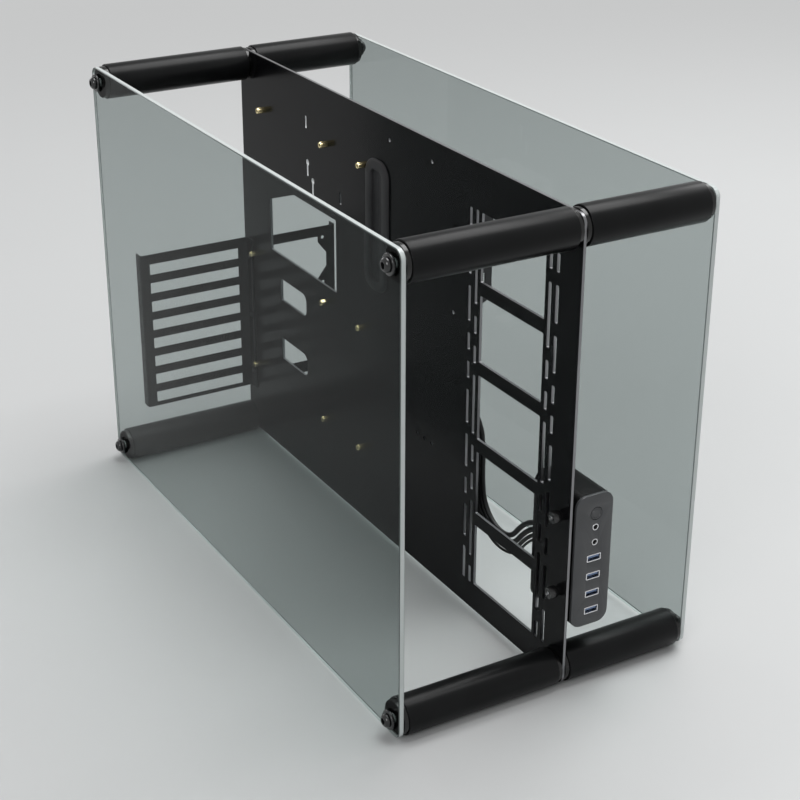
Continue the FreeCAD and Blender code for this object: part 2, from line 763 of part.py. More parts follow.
def cable(name, route, diameter):
    """Plain cable along runs joined by tangent arcs, each arc made of two flats; the first run is along Y."""
    spots = [point(*spot) for spot in route]
    line, radii = [spots[0]], []
    for before, here, after in zip(spots, spots[1:], spots[2:]):
        turn = (here - before).getAngle(after - here)
        radii.append(arc_share * min((here - before).Length, (after - here).Length) / math.tan(turn / 2))
        line += corner_arc(before, here, after, radii[-1])
    path = Part.makePolygon(line + spots[-1:])
    turns = [i * 2 * math.pi / cable_sides for i in range(cable_sides)]
    rim = [spots[0] + (X * math.cos(turn) + Z * math.sin(turn)) * (diameter / 2) for turn in turns]
    section = Part.makePolygon(rim + rim[:1])
    solid = path.makePipeShell([section], True, False, mitred)
    share = solid.Volume / (path.Length * Part.Face(section).Area)
    print(f"{name}: length {path.Length:.1f}, radii", " ".join(f"{r:.0f}" for r in radii), f"volume {share:.3f}")
    return solid


def header(route, size):
    """Header plug that hangs from a cable's end, in line with the cable's last run."""
    end, before = point(*route[-1]), point(*route[-2])
    along = (end - before).normalize()
    width, depth, height = size
    body = block(-width / 2, width / 2, -depth / 2, depth / 2, 0, height)
    body.Placement = FreeCAD.Placement(end, FreeCAD.Rotation(X, X.cross(along) * -1, along, "ZXY"))
    return body


def cable_clip():
    """Clip on the back of the tray that holds the cables side by side."""
    z0 = bottom + clip_from_bottom - clip_height / 2
    level = bottom + clip_from_bottom
    passing = []
    for route, diameter in cable_routes():
        _, y, _ = min(route[9:], key=lambda spot: abs(spot[2] - level))
        passing.append((y - diameter / 2, y + diameter / 2))
    y0 = min(low for low, _ in passing) - 2 * clip_clearance
    y1 = max(high for _, high in passing) + 2 * clip_clearance
    roof = tray_right + clip_base + usb_cable_diameter + 2 * clip_clearance
    base = block(tray_right, tray_right + clip_base, y0 - clip_foot, y1 + clip_foot, z0, z0 + clip_height)
    arch = block(tray_right, roof + clip_wall, y0 - clip_wall, y1 + clip_wall, z0, z0 + clip_height)
    return base.fuse(arch).cut(block(tray_right + clip_base, roof, y0, y1, z0, z0 + clip_height))


def main():
    os.makedirs("parts", exist_ok=True)
    save("left_glass_panel", glass_panel(left_outer))
    save("right_glass_panel", glass_panel(right_inner))
    save("motherboard_tray", tray())
    bay_tubes("left", left_inner, tray_left)
    bay_tubes("right", tray_right, right_inner)
    save("tray_studs", *tray_studs())
    glass_fixings("left", left_outer, X * -1)
    glass_fixings("right", right_outer, X)
    save("board_standoffs", *[standoff(y, z) for y, z in standoff_places()])
    save("expansion_bracket", expansion_bracket())
    save("supply_bracket", supply_bracket())
    save("rear_bracket_screws", *[rear_bracket_screw(y, z) for y, z in rear_screw_places()])
    save("drive_bracket", drive_bracket())
    save("drive_bracket_screws", *[drive_screw(y, z) for y, z in drive_screw_places()])
    save("cable_grommet", grommet())
    save("panel_faceplate", faceplate())
    save("panel_housing", panel_housing())
    save("panel_circuit_board", circuit_board())
    save("usb_shells", *[usb_shell(z) for z in usb_places])
    save("usb_tongues", *[usb_tongue(z) for z in usb_places])
    save("audio_jacks", *[audio_jack(z) for z in jack_places])
    save("power_button", power_button())
    save("power_switch", power_switch())
    save("panel_thumbscrews", *[thumbscrew(y, z) for y, z in thumb_places()])
    save("cable_gland", cable_gland())
    save("cable_clip", cable_clip())
    names = ("usb_cable_1", "usb_cable_2", "audio_cable", "switch_cable")
    sizes = (usb_header_size, usb_header_size, audio_header_size, switch_header_size)
    for name, (route, diameter), size in zip(names, cable_routes(), sizes):
        save(name, cable(name, route, diameter))
        save(name.replace("cable", "header"), header(route, size))


main()
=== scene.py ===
"""Open-frame desktop computer case: glass sides, slotted tray, tubes, brackets, front panel and cables.

Metres. +X is to the right seen from the front, +Y to the rear and +Z up, with the floor at Z = 0.
Sizes that are easier to read in millimetres are written so and brought to metres by mm().
"""
import math

import bmesh
import bpy
from mathutils import Matrix, Quaternion, Vector


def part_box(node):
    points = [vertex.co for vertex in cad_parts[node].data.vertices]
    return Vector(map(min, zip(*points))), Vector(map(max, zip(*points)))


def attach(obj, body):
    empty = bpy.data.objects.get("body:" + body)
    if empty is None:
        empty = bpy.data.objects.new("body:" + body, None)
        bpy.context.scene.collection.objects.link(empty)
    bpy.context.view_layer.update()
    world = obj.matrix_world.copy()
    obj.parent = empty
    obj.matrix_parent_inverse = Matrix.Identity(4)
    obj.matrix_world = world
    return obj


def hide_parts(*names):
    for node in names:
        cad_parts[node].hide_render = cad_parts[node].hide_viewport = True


bl_info = {
    "name": "Open Frame Computer Case",
    "version": (1, 0, 0),
    "blender": (4, 5, 0),
    "location": "View3D > Sidebar > Case",
    "description": "Builds the glass, tray, tubes, brackets, ports and cables of an open-frame case",
    "category": "Object",
}

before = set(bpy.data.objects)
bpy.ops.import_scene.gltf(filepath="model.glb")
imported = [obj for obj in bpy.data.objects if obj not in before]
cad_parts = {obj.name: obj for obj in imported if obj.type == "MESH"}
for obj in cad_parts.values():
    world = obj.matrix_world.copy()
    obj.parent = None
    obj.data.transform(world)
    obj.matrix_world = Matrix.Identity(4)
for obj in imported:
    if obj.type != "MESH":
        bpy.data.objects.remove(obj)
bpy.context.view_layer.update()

# Plate directions: local (a, b, thickness) to the case's own axes
UPRIGHT = Matrix(((0, 0, 1, 0), (1, 0, 0, 0), (0, 1, 0, 0), (0, 0, 0, 1)))
FACING = Matrix(((1, 0, 0, 0), (0, 0, -1, 0), (0, 1, 0, 0), (0, 0, 0, 1)))
QUARTER = math.pi / 2
TO_LEFT, TO_RIGHT, TO_FRONT = (0, -QUARTER, 0), (0, QUARTER, 0), (QUARTER, 0, 0)

# Faces of the plates from left to right, in millimetres along X
LEFT_OUTER, LEFT_INNER = -143.0, -138.0
TRAY_LEFT, TRAY_RIGHT = 14.0, 17.0
RIGHT_INNER, RIGHT_OUTER = 138.0, 143.0

# Outline of every plate: front, rear, bottom, top, corner radius and steps in each corner
PLATE = (-295, 295, 3, 417, 8.5, 12)

# Tube axes at the plates' corners, as (y, z), and the radius of the bolt holes there
CORNERS = [(y, z) for y in (-281.5, 281.5) for z in (16.5, 403.5)]
BOLT_HOLE = 3.4

# Faces of the faceplate along Y, and the middles of the openings in it
FACE_FRONT, FACE_BACK = -295.0, -292.0
PORT_X = 40.7
USB_HEIGHTS = (69.0, 85.1, 101.6, 118.4)
JACK_HEIGHTS = (133.0, 146.9)
BUTTON_HEIGHT = 159.5

# A plate's broad faces have more than BROAD of their normal along X, and its cut walls less than WALL
BROAD, WALL = 0.95, 0.3


def mm(*values):
    """Millimetres to metres: one number, or a point."""
    return values[0] * 0.001 if len(values) == 1 else Vector(values) * 0.001


def length(name, description, default):
    return bpy.props.FloatProperty(name=name, description=description, default=default, min=0.0,
                                   precision=5, subtype="DISTANCE", unit="LENGTH")


def colour(name, description, default):
    return bpy.props.FloatVectorProperty(name=name, description=description, default=default,
                                         size=3, min=0.0, max=1.0, subtype="COLOR")


class CaseSizes(bpy.types.PropertyGroup):
    """Small sizes of the finished edges and fixings."""
    tray_ease: length("Tray edge", "Width of the eased edge round the tray and its openings", 0.00035)
    glass_ease: length("Glass arris", "Width of the ground arris round the glass", 0.0007)
    bracket_ease: length("Bracket edge", "Width of the eased edges on the folded brackets", 0.00025)
    face_ease: length("Faceplate edge", "Width of the eased edge round the faceplate", 0.0006)
    slot_corner: length("Slot corner", "Corner radius of the slots in the tray", 0.0011)
    tube_edge: length("Tube end edge", "Rounding at the ends of the tubes", 0.0005)
    washer_edge: length("Washer edge", "Rounding of the washers' rims", 0.0009)
    knurls: bpy.props.IntProperty(name="Knurls", description="Ridges round each thumbscrew",
                                  default=30, min=8)


class CaseColours(bpy.types.PropertyGroup):
    """Colours of the case's finishes."""
    glass: colour("Smoked glass", "What white light keeps through one panel", (0.44, 0.485, 0.478))
    # The rim's pale colour is a painted highlight: it stands in for the bright line of light along the
    # polished edges
    glass_rim_highlight: colour("Glass rim", "Polished rim of the panels", (0.74, 0.79, 0.78))
    # The arrises' dark colour is painted shade: it stands in for the dark lines beside the lit rim
    glass_arris_shade: colour("Glass arris", "Ground arrises beside the rim, darkened as painted shade", (0.10, 0.12, 0.117))
    tray: colour("Tray", "Black coat of the tray", (0.0035, 0.0035, 0.004))
    # The tray's cut edges are painted a paler metal than its faces: a painted highlight along every cut
    # edge
    tray_edge_highlight: colour("Tray edge", "Cut edges of the tray, paler than its faces", (0.26, 0.26, 0.27))
    # Near-white keyhole walls are painted light, so the keyholes read bright
    keyhole_painted_light: colour("Keyhole walls", "Painted light on the walls of the keyholes and the slot above", (0.78, 0.78, 0.79))
    tube: colour("Tubes", "Black anodised tubes", (0.006, 0.0063, 0.0066))
    bracket: colour("Brackets", "Black coat of the folded brackets", (0.0055, 0.0058, 0.0062))
    cradle: colour("Drive bracket", "Dark grey coat of the drive bracket", (0.05, 0.051, 0.054))
    fixing: colour("Fixings", "Blackened screws and washers", (0.007, 0.007, 0.0075))
    plug: colour("Tube plugs", "Black plugs in the tube ends", (0.0035, 0.0035, 0.0035))
    rubber: colour("Rubber", "Grommet, gland and clip", (0.034, 0.033, 0.035))
    face: colour("Faceplate", "Dark grey face of the front panel", (0.060, 0.062, 0.066))
    housing: colour("Housing", "Black moulded housing of the front panel", (0.004, 0.004, 0.0043))
    brass: colour("Brass", "Board standoffs", (0.90, 0.75, 0.42))
    steel: colour("Bright steel", "Port shells, rings and studs", (0.72, 0.72, 0.74))
    gold: colour("Contacts", "Plated contacts in the ports", (0.85, 0.66, 0.32))
    tongue: colour("Port tongues", "Blue tongues inside the ports", (0.15, 0.22, 0.38))
    jack: colour("Jacks", "Black bodies of the audio jacks", (0.012, 0.012, 0.012))
    key: colour("Power key", "Round power key", (0.055, 0.057, 0.061))
    board: colour("Circuit board", "Green board in the front panel", (0.018, 0.11, 0.045))
    cable: colour("Cables", "Black cable jackets", (0.006, 0.006, 0.0065))
    header: colour("Header plugs", "Plugs at the cables' far ends", (0.018, 0.018, 0.019))
    floor: colour("Floor", "Plain pale floor", (0.58, 0.585, 0.585))


# Nodes


def node(tree, kind, *feeds, **settings):
    """Adds a node; each feed is (input, value or output), and settings are the node's own options."""
    made = tree.nodes.new(kind)
    for name, value in settings.items():
        setattr(made, name, value)
    for key, value in feeds:
        if isinstance(value, bpy.types.NodeSocket):
            tree.links.new(value, made.inputs[key])
        else:
            made.inputs[key].default_value = value
    return made


def geometry_tree(name, sizes):
    """New geometry tree with named inputs; returns it with its input and output sockets."""
    tree = bpy.data.node_groups.new(name, "GeometryNodeTree")
    add = tree.interface.new_socket
    add("Geometry", in_out="INPUT", socket_type="NodeSocketGeometry")
    for label, kind in sizes:
        add(label, in_out="INPUT", socket_type=kind)
    add("Material", in_out="INPUT", socket_type="NodeSocketMaterial")
    add("Geometry", in_out="OUTPUT", socket_type="NodeSocketGeometry")
    return tree, node(tree, "NodeGroupInput").outputs, node(tree, "NodeGroupOutput").inputs


def close_tree(tree, source, given, result):
    whole = node(tree, "GeometryNodeRealizeInstances", ("Geometry", source))
    painted = node(tree, "GeometryNodeSetMaterial", ("Geometry", whole.outputs[0]),
                   ("Material", given["Material"]))
    tree.links.new(painted.outputs[0], result["Geometry"])
    return tree


def turned_to(tree):
    """Rotation read from each point's own turn."""
    turn = node(tree, "GeometryNodeInputNamedAttribute", ("Name", "turn"), data_type="FLOAT_VECTOR")
    return node(tree, "FunctionNodeEulerToRotation", (0, turn.outputs[0])).outputs[0]


def cut_sheet_tree():
    """Flat sheet: closed loops are outlines and single cuts, and loose points carry cuts that repeat."""
    kinds = "ABCDEF"
    sizes = [(f"Cut {kind} {way}", "NodeSocketFloat") for kind in kinds for way in ("width", "height")]
    sizes += [("Cut corner", "NodeSocketFloat"), ("Thickness", "NodeSocketFloat")]
    tree, given, result = geometry_tree("Cut Sheet", sizes)
    cut = node(tree, "GeometryNodeInputNamedAttribute", ("Name", "cut"), data_type="INT").outputs[0]

    def of_kind(number):
        same = node(tree, "FunctionNodeCompare", data_type="INT", operation="EQUAL")
        tree.links.new(cut, same.inputs[2])
        same.inputs[3].default_value = number
        part = node(tree, "GeometryNodeSeparateGeometry", ("Geometry", given["Geometry"]),
                    ("Selection", same.outputs[0]), domain="POINT")
        return part.outputs[0]

    joined = node(tree, "GeometryNodeJoinGeometry")
    outlines = node(tree, "GeometryNodeMeshToCurve", ("Mesh", of_kind(-1)))
    tree.links.new(outlines.outputs[0], joined.inputs[0])
    for number, kind in enumerate(kinds):
        shape = node(tree, "GeometryNodeCurvePrimitiveQuadrilateral", ("Width", given[f"Cut {kind} width"]),
                     ("Height", given[f"Cut {kind} height"]))
        shape = node(tree, "GeometryNodeFilletCurve", ("Curve", shape.outputs[0]), ("Count", 4),
                     ("Radius", given["Cut corner"]), ("Limit Radius", True), mode="POLY")
        copies = node(tree, "GeometryNodeInstanceOnPoints", ("Points", of_kind(number)),
                      ("Instance", shape.outputs[0]))
        tree.links.new(copies.outputs[0], joined.inputs[0])
    loops = node(tree, "GeometryNodeRealizeInstances", ("Geometry", joined.outputs[0])).outputs[0]
    face = node(tree, "GeometryNodeFillCurve", ("Curve", loops), mode="NGONS").outputs[0]
    raised = node(tree, "GeometryNodeExtrudeMesh", ("Mesh", face), ("Offset", (0, 0, 1)),
                  ("Offset Scale", given["Thickness"]), ("Individual", False), mode="FACES")
    under = node(tree, "GeometryNodeFlipFaces", ("Mesh", face))
    both = node(tree, "GeometryNodeJoinGeometry")
    tree.links.new(raised.outputs[0], both.inputs[0])
    tree.links.new(under.outputs[0], both.inputs[0])
    welded = node(tree, "GeometryNodeMergeByDistance", ("Geometry", both.outputs[0]), ("Distance", 1e-6))
    return close_tree(tree, welded.outputs[0], given, result)


def turned_ring_tree():
    """Rings with eased rims, one on each point, with their axes turned as the points say."""
    sizes = [(label, "NodeSocketFloat") for label in ("Radius", "Bore", "Length", "Edge")]
    tree, given, result = geometry_tree("Turned Rings", sizes + [("Segments", "NodeSocketInt")])
    total = node(tree, "ShaderNodeMath", (0, given["Radius"]), (1, given["Bore"]), operation="ADD")
    middle = node(tree, "ShaderNodeMath", (0, total.outputs[0]), (1, 0.5), operation="MULTIPLY")
    wall = node(tree, "ShaderNodeMath", (0, given["Radius"]), (1, given["Bore"]), operation="SUBTRACT")
    path = node(tree, "GeometryNodeCurvePrimitiveCircle", ("Resolution", given["Segments"]),
                ("Radius", middle.outputs[0]))
    section = node(tree, "GeometryNodeCurvePrimitiveQuadrilateral", ("Width", wall.outputs[0]),
                   ("Height", given["Length"]))
    section = node(tree, "GeometryNodeFilletCurve", ("Curve", section.outputs[0]), ("Count", 3),
                   ("Radius", given["Edge"]), ("Limit Radius", True), mode="POLY")
    ring = node(tree, "GeometryNodeCurveToMesh", ("Curve", path.outputs[0]),
                ("Profile Curve", section.outputs[0]))
    copies = node(tree, "GeometryNodeInstanceOnPoints", ("Points", given["Geometry"]),
                  ("Instance", ring.outputs[0]), ("Rotation", turned_to(tree)))
    return close_tree(tree, copies.outputs[0], given, result)


def set_out_tree():
    """Copies of one made piece, one on each point, turned as the points say."""
    sizes = [("Piece", "NodeSocketObject"), ("Size", "NodeSocketFloat")]
    tree, given, result = geometry_tree("Set Out", sizes)
    piece = node(tree, "GeometryNodeObjectInfo", ("Object", given["Piece"]), ("As Instance", True),
                 transform_space="ORIGINAL")
    copies = node(tree, "GeometryNodeInstanceOnPoints", ("Points", given["Geometry"]),
                  ("Instance", piece.outputs["Geometry"]), ("Rotation", turned_to(tree)),
                  ("Scale", given["Size"]))
    return close_tree(tree, copies.outputs[0], given, result)


def shared_tree(name, make):
    return bpy.data.node_groups.get(name) or make()


# Meshes


def smooth(mesh, angle=32.0):
    mesh.shade_smooth()
    mesh.set_sharp_from_angle(angle=math.radians(angle))


def linked(name, mesh):
    piece = bpy.data.objects.new(name, mesh)
    bpy.context.scene.collection.objects.link(piece)
    return piece


def settle(piece, place=None):
    """Turns a piece with modifiers into a plain mesh that lies at its place."""
    graph = bpy.context.evaluated_depsgraph_get()
    mesh = bpy.data.meshes.new_from_object(piece.evaluated_get(graph))
    piece.modifiers.clear()
    piece.data = mesh
    if place is not None:
        mesh.transform(place)
    smooth(mesh)
    return piece


def eased(piece, width, steps=1, angle=50.0):
    bevel = piece.modifiers.new("Eased edges", "BEVEL")
    bevel.width, bevel.segments = width, steps
    bevel.limit_method, bevel.angle_limit = "ANGLE", math.radians(angle)
    bevel.use_clamp_overlap = False


def grown(name, mesh, tree, values, material):
    """Piece whose form comes from a geometry tree run on a blank mesh."""
    piece = linked(name, mesh)
    form = piece.modifiers.new("Form", "NODES")
    form.node_group = tree
    values = {**values, "Material": material}
    for item in tree.interface.items_tree:
        if item.in_out == "INPUT" and item.name in values:
            form[item.identifier] = values[item.name]
    return piece


def points_mesh(name, places, turn):
    """Loose points, in millimetres, that carry one turn."""
    mesh = bpy.data.meshes.new(name)
    mesh.from_pydata([mm(*place) for place in places], [], [])
    turns = mesh.attributes.new("turn", "FLOAT_VECTOR", "POINT")
    turns.data.foreach_set("vector", list(turn) * len(places))
    return mesh


def turned_rings(name, places, turn, radius, bore, long, edge, material, segments=64):
    tree = shared_tree("Turned Rings", turned_ring_tree)
    values = {"Radius": mm(radius), "Bore": mm(bore), "Length": mm(long), "Edge": edge,
              "Segments": segments}
    return settle(grown(name, points_mesh(name, places, turn), tree, values, material))


def set_out(name, mesh, places, turn, material):
    """Copies of a made mesh on the given places; a turn of None leaves it as it lies."""
    tree = shared_tree("Set Out", set_out_tree)
    pattern = linked(name + "_pattern", mesh)
    points = points_mesh(name, places, turn or (0, 0, 0))
    piece = grown(name, points, tree, {"Piece": pattern, "Size": 1.0}, material)
    settle(piece)
    bpy.data.objects.remove(pattern)
    return piece


def cut_sheet(name, loops, thickness, place, material, ease=0.0, cuts=(), corner=0.0, steps=1):
    """Flat sheet from loops in millimetres; cuts are (width, height, places) in millimetres."""
    mesh = bpy.data.meshes.new(name)
    spots, edges = [], []
    for loop in loops:
        first = len(spots)
        spots += [(mm(a), mm(b), 0) for a, b in loop]
        edges += [(first + i, first + (i + 1) % len(loop)) for i in range(len(loop))]
    kinds = [-1] * len(spots)
    values = {"Cut corner": corner, "Thickness": mm(thickness)}
    for number, (width, height, places) in enumerate(cuts):
        spots += [(mm(a), mm(b), 0) for a, b in places]
        kinds += [number] * len(places)
        values[f"Cut {'ABCDEF'[number]} width"] = mm(width)
        values[f"Cut {'ABCDEF'[number]} height"] = mm(height)
    mesh.from_pydata(spots, edges, [])
    mesh.attributes.new("cut", "INT", "POINT").data.foreach_set("value", kinds)
    piece = grown(name, mesh, shared_tree("Cut Sheet", cut_sheet_tree), values, material)
    if ease:
        eased(piece, ease, steps)
    return settle(piece, place)


def eased_copy(name, source, width, material, steps=1):
    """Copy of a solid's mesh with its sharp edges eased."""
    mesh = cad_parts[source].data.copy()
    mesh.materials.clear()
    mesh.materials.append(material)
    shape = bmesh.new()
    shape.from_mesh(mesh)
    bmesh.ops.remove_doubles(shape, verts=shape.verts, dist=1e-6)
    bmesh.ops.dissolve_limit(shape, angle_limit=math.radians(0.5), verts=shape.verts, edges=shape.edges)
    for face in shape.faces:
        face.material_index = 0
    shape.to_mesh(mesh)
    shape.free()
    piece = linked(name, mesh)
    eased(piece, width, steps, angle=40.0)
    return settle(piece)


def turned(name, profile, segments=48):
    """Turned body about Z from (radius, height, form) in millimetres; it closes where the radius is 0."""
    shape = bmesh.new()
    rings = []
    for radius, height, *form in profile:
        if radius == 0:
            rings.append([shape.verts.new((0, 0, mm(height)))])
            continue
        ring = []
        for i in range(segments):
            turn = i * 2 * math.pi / segments
            reach = mm(form_radius(radius, form[0] if form else "round", turn, i))
            ring.append(shape.verts.new((reach * math.cos(turn), reach * math.sin(turn), mm(height))))
        rings.append(ring)
    for low, high in zip(rings, rings[1:]):
        for i in range(segments):
            j = (i + 1) % segments
            corners = [low[i % len(low)], low[j % len(low)], high[j % len(high)], high[i % len(high)]]
            corners = list(dict.fromkeys(corners))
            if len(corners) > 2:
                shape.faces.new(corners)
    bmesh.ops.recalc_face_normals(shape, faces=shape.faces)
    mesh = bpy.data.meshes.new(name)
    shape.to_mesh(mesh)
    shape.free()
    return mesh


def form_radius(radius, form, turn, step):
    """Radius of a round, six-sided, knurled or cross-shaped ring at one turn."""
    if form == "hex":
        return radius / math.cos((turn % (math.pi / 3)) - math.pi / 6)
    if form == "knurl":
        depth = 0.35
        return radius - depth * (step % 2)
    if form == "cross":
        waist = 0.42
        return radius * (waist + (1 - waist) * abs(math.cos(2 * turn)) ** 3)
    return radius


def arc(a, b, radius, start, stop, steps):
    turns = [math.radians(start + (stop - start) * i / steps) for i in range(steps + 1)]
    return [(a + radius * math.cos(turn), b + radius * math.sin(turn)) for turn in turns]


def circle(a, b, radius, steps=32):
    return arc(a, b, radius, 0, 360, steps)[:-1]


def rounded(a0, a1, b0, b1, radius, steps=10):
    """Rectangle with rounded corners, anticlockwise."""
    return (arc(a0 + radius, b0 + radius, radius, 180, 270, steps)
            + arc(a1 - radius, b0 + radius, radius, 270, 360, steps)
            + arc(a1 - radius, b1 - radius, radius, 0, 90, steps)
            + arc(a0 + radius, b1 - radius, radius, 90, 180, steps))


def port_outlines(half_width, half_height, corner):
    """One rounded outline round each port of the front panel."""
    return [rounded(PORT_X - half_width, PORT_X + half_width, z - half_height, z + half_height, corner, 4)
            for z in USB_HEIGHTS]


def swept_ring(name, centre, half, corner, section, material, steps=10):
    """Closed band round a rounded rectangle in the tray's plane; section holds (outward, x)."""
    shape = bmesh.new()
    rows = []
    for da, db, start in ((-1, -1, 180), (1, -1, 270), (1, 1, 0), (-1, 1, 90)):
        middle = (centre[0] + da * (half[0] - corner), centre[1] + db * (half[1] - corner))
        for i in range(steps + 1):
            turn = math.radians(start + 90 * i / steps)
            way = (math.cos(turn), math.sin(turn))
            rows.append([shape.verts.new(mm(x, middle[0] + (corner + out) * way[0],
                                            middle[1] + (corner + out) * way[1])) for out, x in section])
    for here, after in zip(rows, rows[1:] + rows[:1]):
        for i in range(len(section)):
            j = (i + 1) % len(section)
            shape.faces.new((here[i], after[i], after[j], here[j]))
    bmesh.ops.recalc_face_normals(shape, faces=shape.faces)
    mesh = bpy.data.meshes.new(name)
    shape.to_mesh(mesh)
    shape.free()
    mesh.materials.append(material)
    smooth(mesh, 50)
    return linked(name, mesh)


def dress(piece, slot, *nodes, body="case"):
    """Puts a finished piece on its body, in place of the solids it stands for."""
    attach(piece, body)
    if nodes:
        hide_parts(*nodes)
    return piece


def paint(source, material):
    """Gives a solid that stays in sight its finish."""
    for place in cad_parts[source].material_slots:
        place.material = material


# Finishes


def shader_group(name, inputs, outputs):
    group = bpy.data.node_groups.new(name, "ShaderNodeTree")
    for label, kind, value in inputs:
        socket = group.interface.new_socket(label, in_out="INPUT", socket_type=kind)
        if value is not None:
            socket.default_value = value
    for label in outputs:
        group.interface.new_socket(label, in_out="OUTPUT", socket_type="NodeSocketFloat")
    return group, node(group, "NodeGroupInput").outputs, node(group, "NodeGroupOutput").inputs


def grain_group():
    """Fine even grain of a coat or moulding: Height for relief, Tone for slow changes of shade."""
    group, given, result = shader_group(
        "Coat Grain", [("Vector", "NodeSocketVector", None), ("Scale", "NodeSocketFloat", 2500.0)],
        ("Height", "Tone"))
    fine = node(group, "ShaderNodeTexNoise", ("Vector", given["Vector"]), ("Scale", given["Scale"]),
                ("Detail", 2.0))
    slow = node(group, "ShaderNodeMath", (0, given["Scale"]), (1, 0.012), operation="MULTIPLY")
    tone = node(group, "ShaderNodeTexNoise", ("Vector", given["Vector"]), ("Scale", slow.outputs[0]),
                ("Detail", 4.0))
    group.links.new(fine.outputs[0], result["Height"])
    group.links.new(tone.outputs[0], result["Tone"])
    return group


def lines_group():
    """Lines left by drawing or turning, stretched along one direction."""
    group, given, result = shader_group(
        "Drawn Lines",
        [("Vector", "NodeSocketVector", None), ("Stretch", "NodeSocketVector", (1.0, 1.0, 1.0)),
         ("Scale", "NodeSocketFloat", 900.0)], ("Height", "Tone"))
    spread = node(group, "ShaderNodeVectorMath", (0, given["Vector"]), (1, given["Stretch"]),
                  operation="MULTIPLY")
    fine = node(group, "ShaderNodeTexNoise", ("Vector", spread.outputs[0]), ("Scale", given["Scale"]),
                ("Detail", 3.0))
    slow = node(group, "ShaderNodeMath", (0, given["Scale"]), (1, 0.1), operation="MULTIPLY")
    tone = node(group, "ShaderNodeTexNoise", ("Vector", spread.outputs[0]), ("Scale", slow.outputs[0]),
                ("Detail", 3.0))
    group.links.new(fine.outputs[0], result["Height"])
    group.links.new(tone.outputs[0], result["Tone"])
    return group


def handling_group():
    """Roughness that varies with handling: wide soft patches and fine streaks about a mean."""
    group, given, result = shader_group(
        "Handling Marks", [("Vector", "NodeSocketVector", None), ("Mean", "NodeSocketFloat", 0.3),
                           ("Spread", "NodeSocketFloat", 0.1)], ("Roughness",))
    wide = node(group, "ShaderNodeTexNoise", ("Vector", given["Vector"]), ("Scale", 16.0), ("Detail", 5.0))
    fine = node(group, "ShaderNodeTexNoise", ("Vector", given["Vector"]), ("Scale", 210.0), ("Detail", 3.0))
    both = node(group, "ShaderNodeMath", (0, wide.outputs[0]), (1, fine.outputs[0]), operation="ADD")
    about = node(group, "ShaderNodeMath", (0, both.outputs[0]), (1, 1.0), operation="SUBTRACT")
    shift = node(group, "ShaderNodeMath", (0, about.outputs[0]), (1, given["Spread"]), (2, given["Mean"]),
                 operation="MULTIPLY_ADD", use_clamp=True)
    group.links.new(shift.outputs[0], result["Roughness"])
    return group


def shared_group(tree, name, make, *feeds):
    return node(tree, "ShaderNodeGroup", *feeds, node_tree=shared_tree(name, make))


def handling(tree, surface, where, rough, spread):
    """Feeds a shader's roughness from the handling marks."""
    marks = shared_group(tree, "Handling Marks", handling_group, ("Vector", where), ("Mean", rough),
                         ("Spread", spread))
    tree.links.new(marks.outputs[0], surface.inputs["Roughness"])


def finish(name, shade, rough, spread, metal=0.0, grain=2500.0, relief=0.00002, lift=1.6, stretch=None,
           coat=0.0, specular=0.5):
    """Opaque finish: grain or drawn lines for tone and relief, and handling marks for roughness."""
    made = bpy.data.materials.get(name)
    if made:
        return made
    made = bpy.data.materials.new(name)
    made.use_nodes = True
    tree = made.node_tree
    surface = tree.nodes["Principled BSDF"]
    where = node(tree, "ShaderNodeTexCoord").outputs["Object"]
    if stretch:
        texture = shared_group(tree, "Drawn Lines", lines_group, ("Vector", where), ("Stretch", stretch),
                               ("Scale", grain))
    else:
        texture = shared_group(tree, "Coat Grain", grain_group, ("Vector", where), ("Scale", grain))
    dark, light = [min(c / lift ** 0.5, 1) for c in shade], [min(c * lift ** 0.5, 1) for c in shade]
    ramp = node(tree, "ShaderNodeValToRGB", (0, texture.outputs["Tone"]))
    low, high = ramp.color_ramp.elements
    low.position, high.position = 0.3, 0.7
    low.color, high.color = (*dark, 1), (*light, 1)
    tree.links.new(ramp.outputs[0], surface.inputs["Base Color"])
    handling(tree, surface, where, rough, spread)
    bump = node(tree, "ShaderNodeBump", ("Strength", 0.5), ("Distance", relief),
                ("Height", texture.outputs["Height"]))
    tree.links.new(bump.outputs[0], surface.inputs["Normal"])
    surface.inputs["Metallic"].default_value = metal
    surface.inputs["Coat Weight"].default_value = coat
    surface.inputs["Coat Roughness"].default_value = 0.12
    surface.inputs["Specular IOR Level"].default_value = specular
    made.diffuse_color = (*shade, 1)
    return made


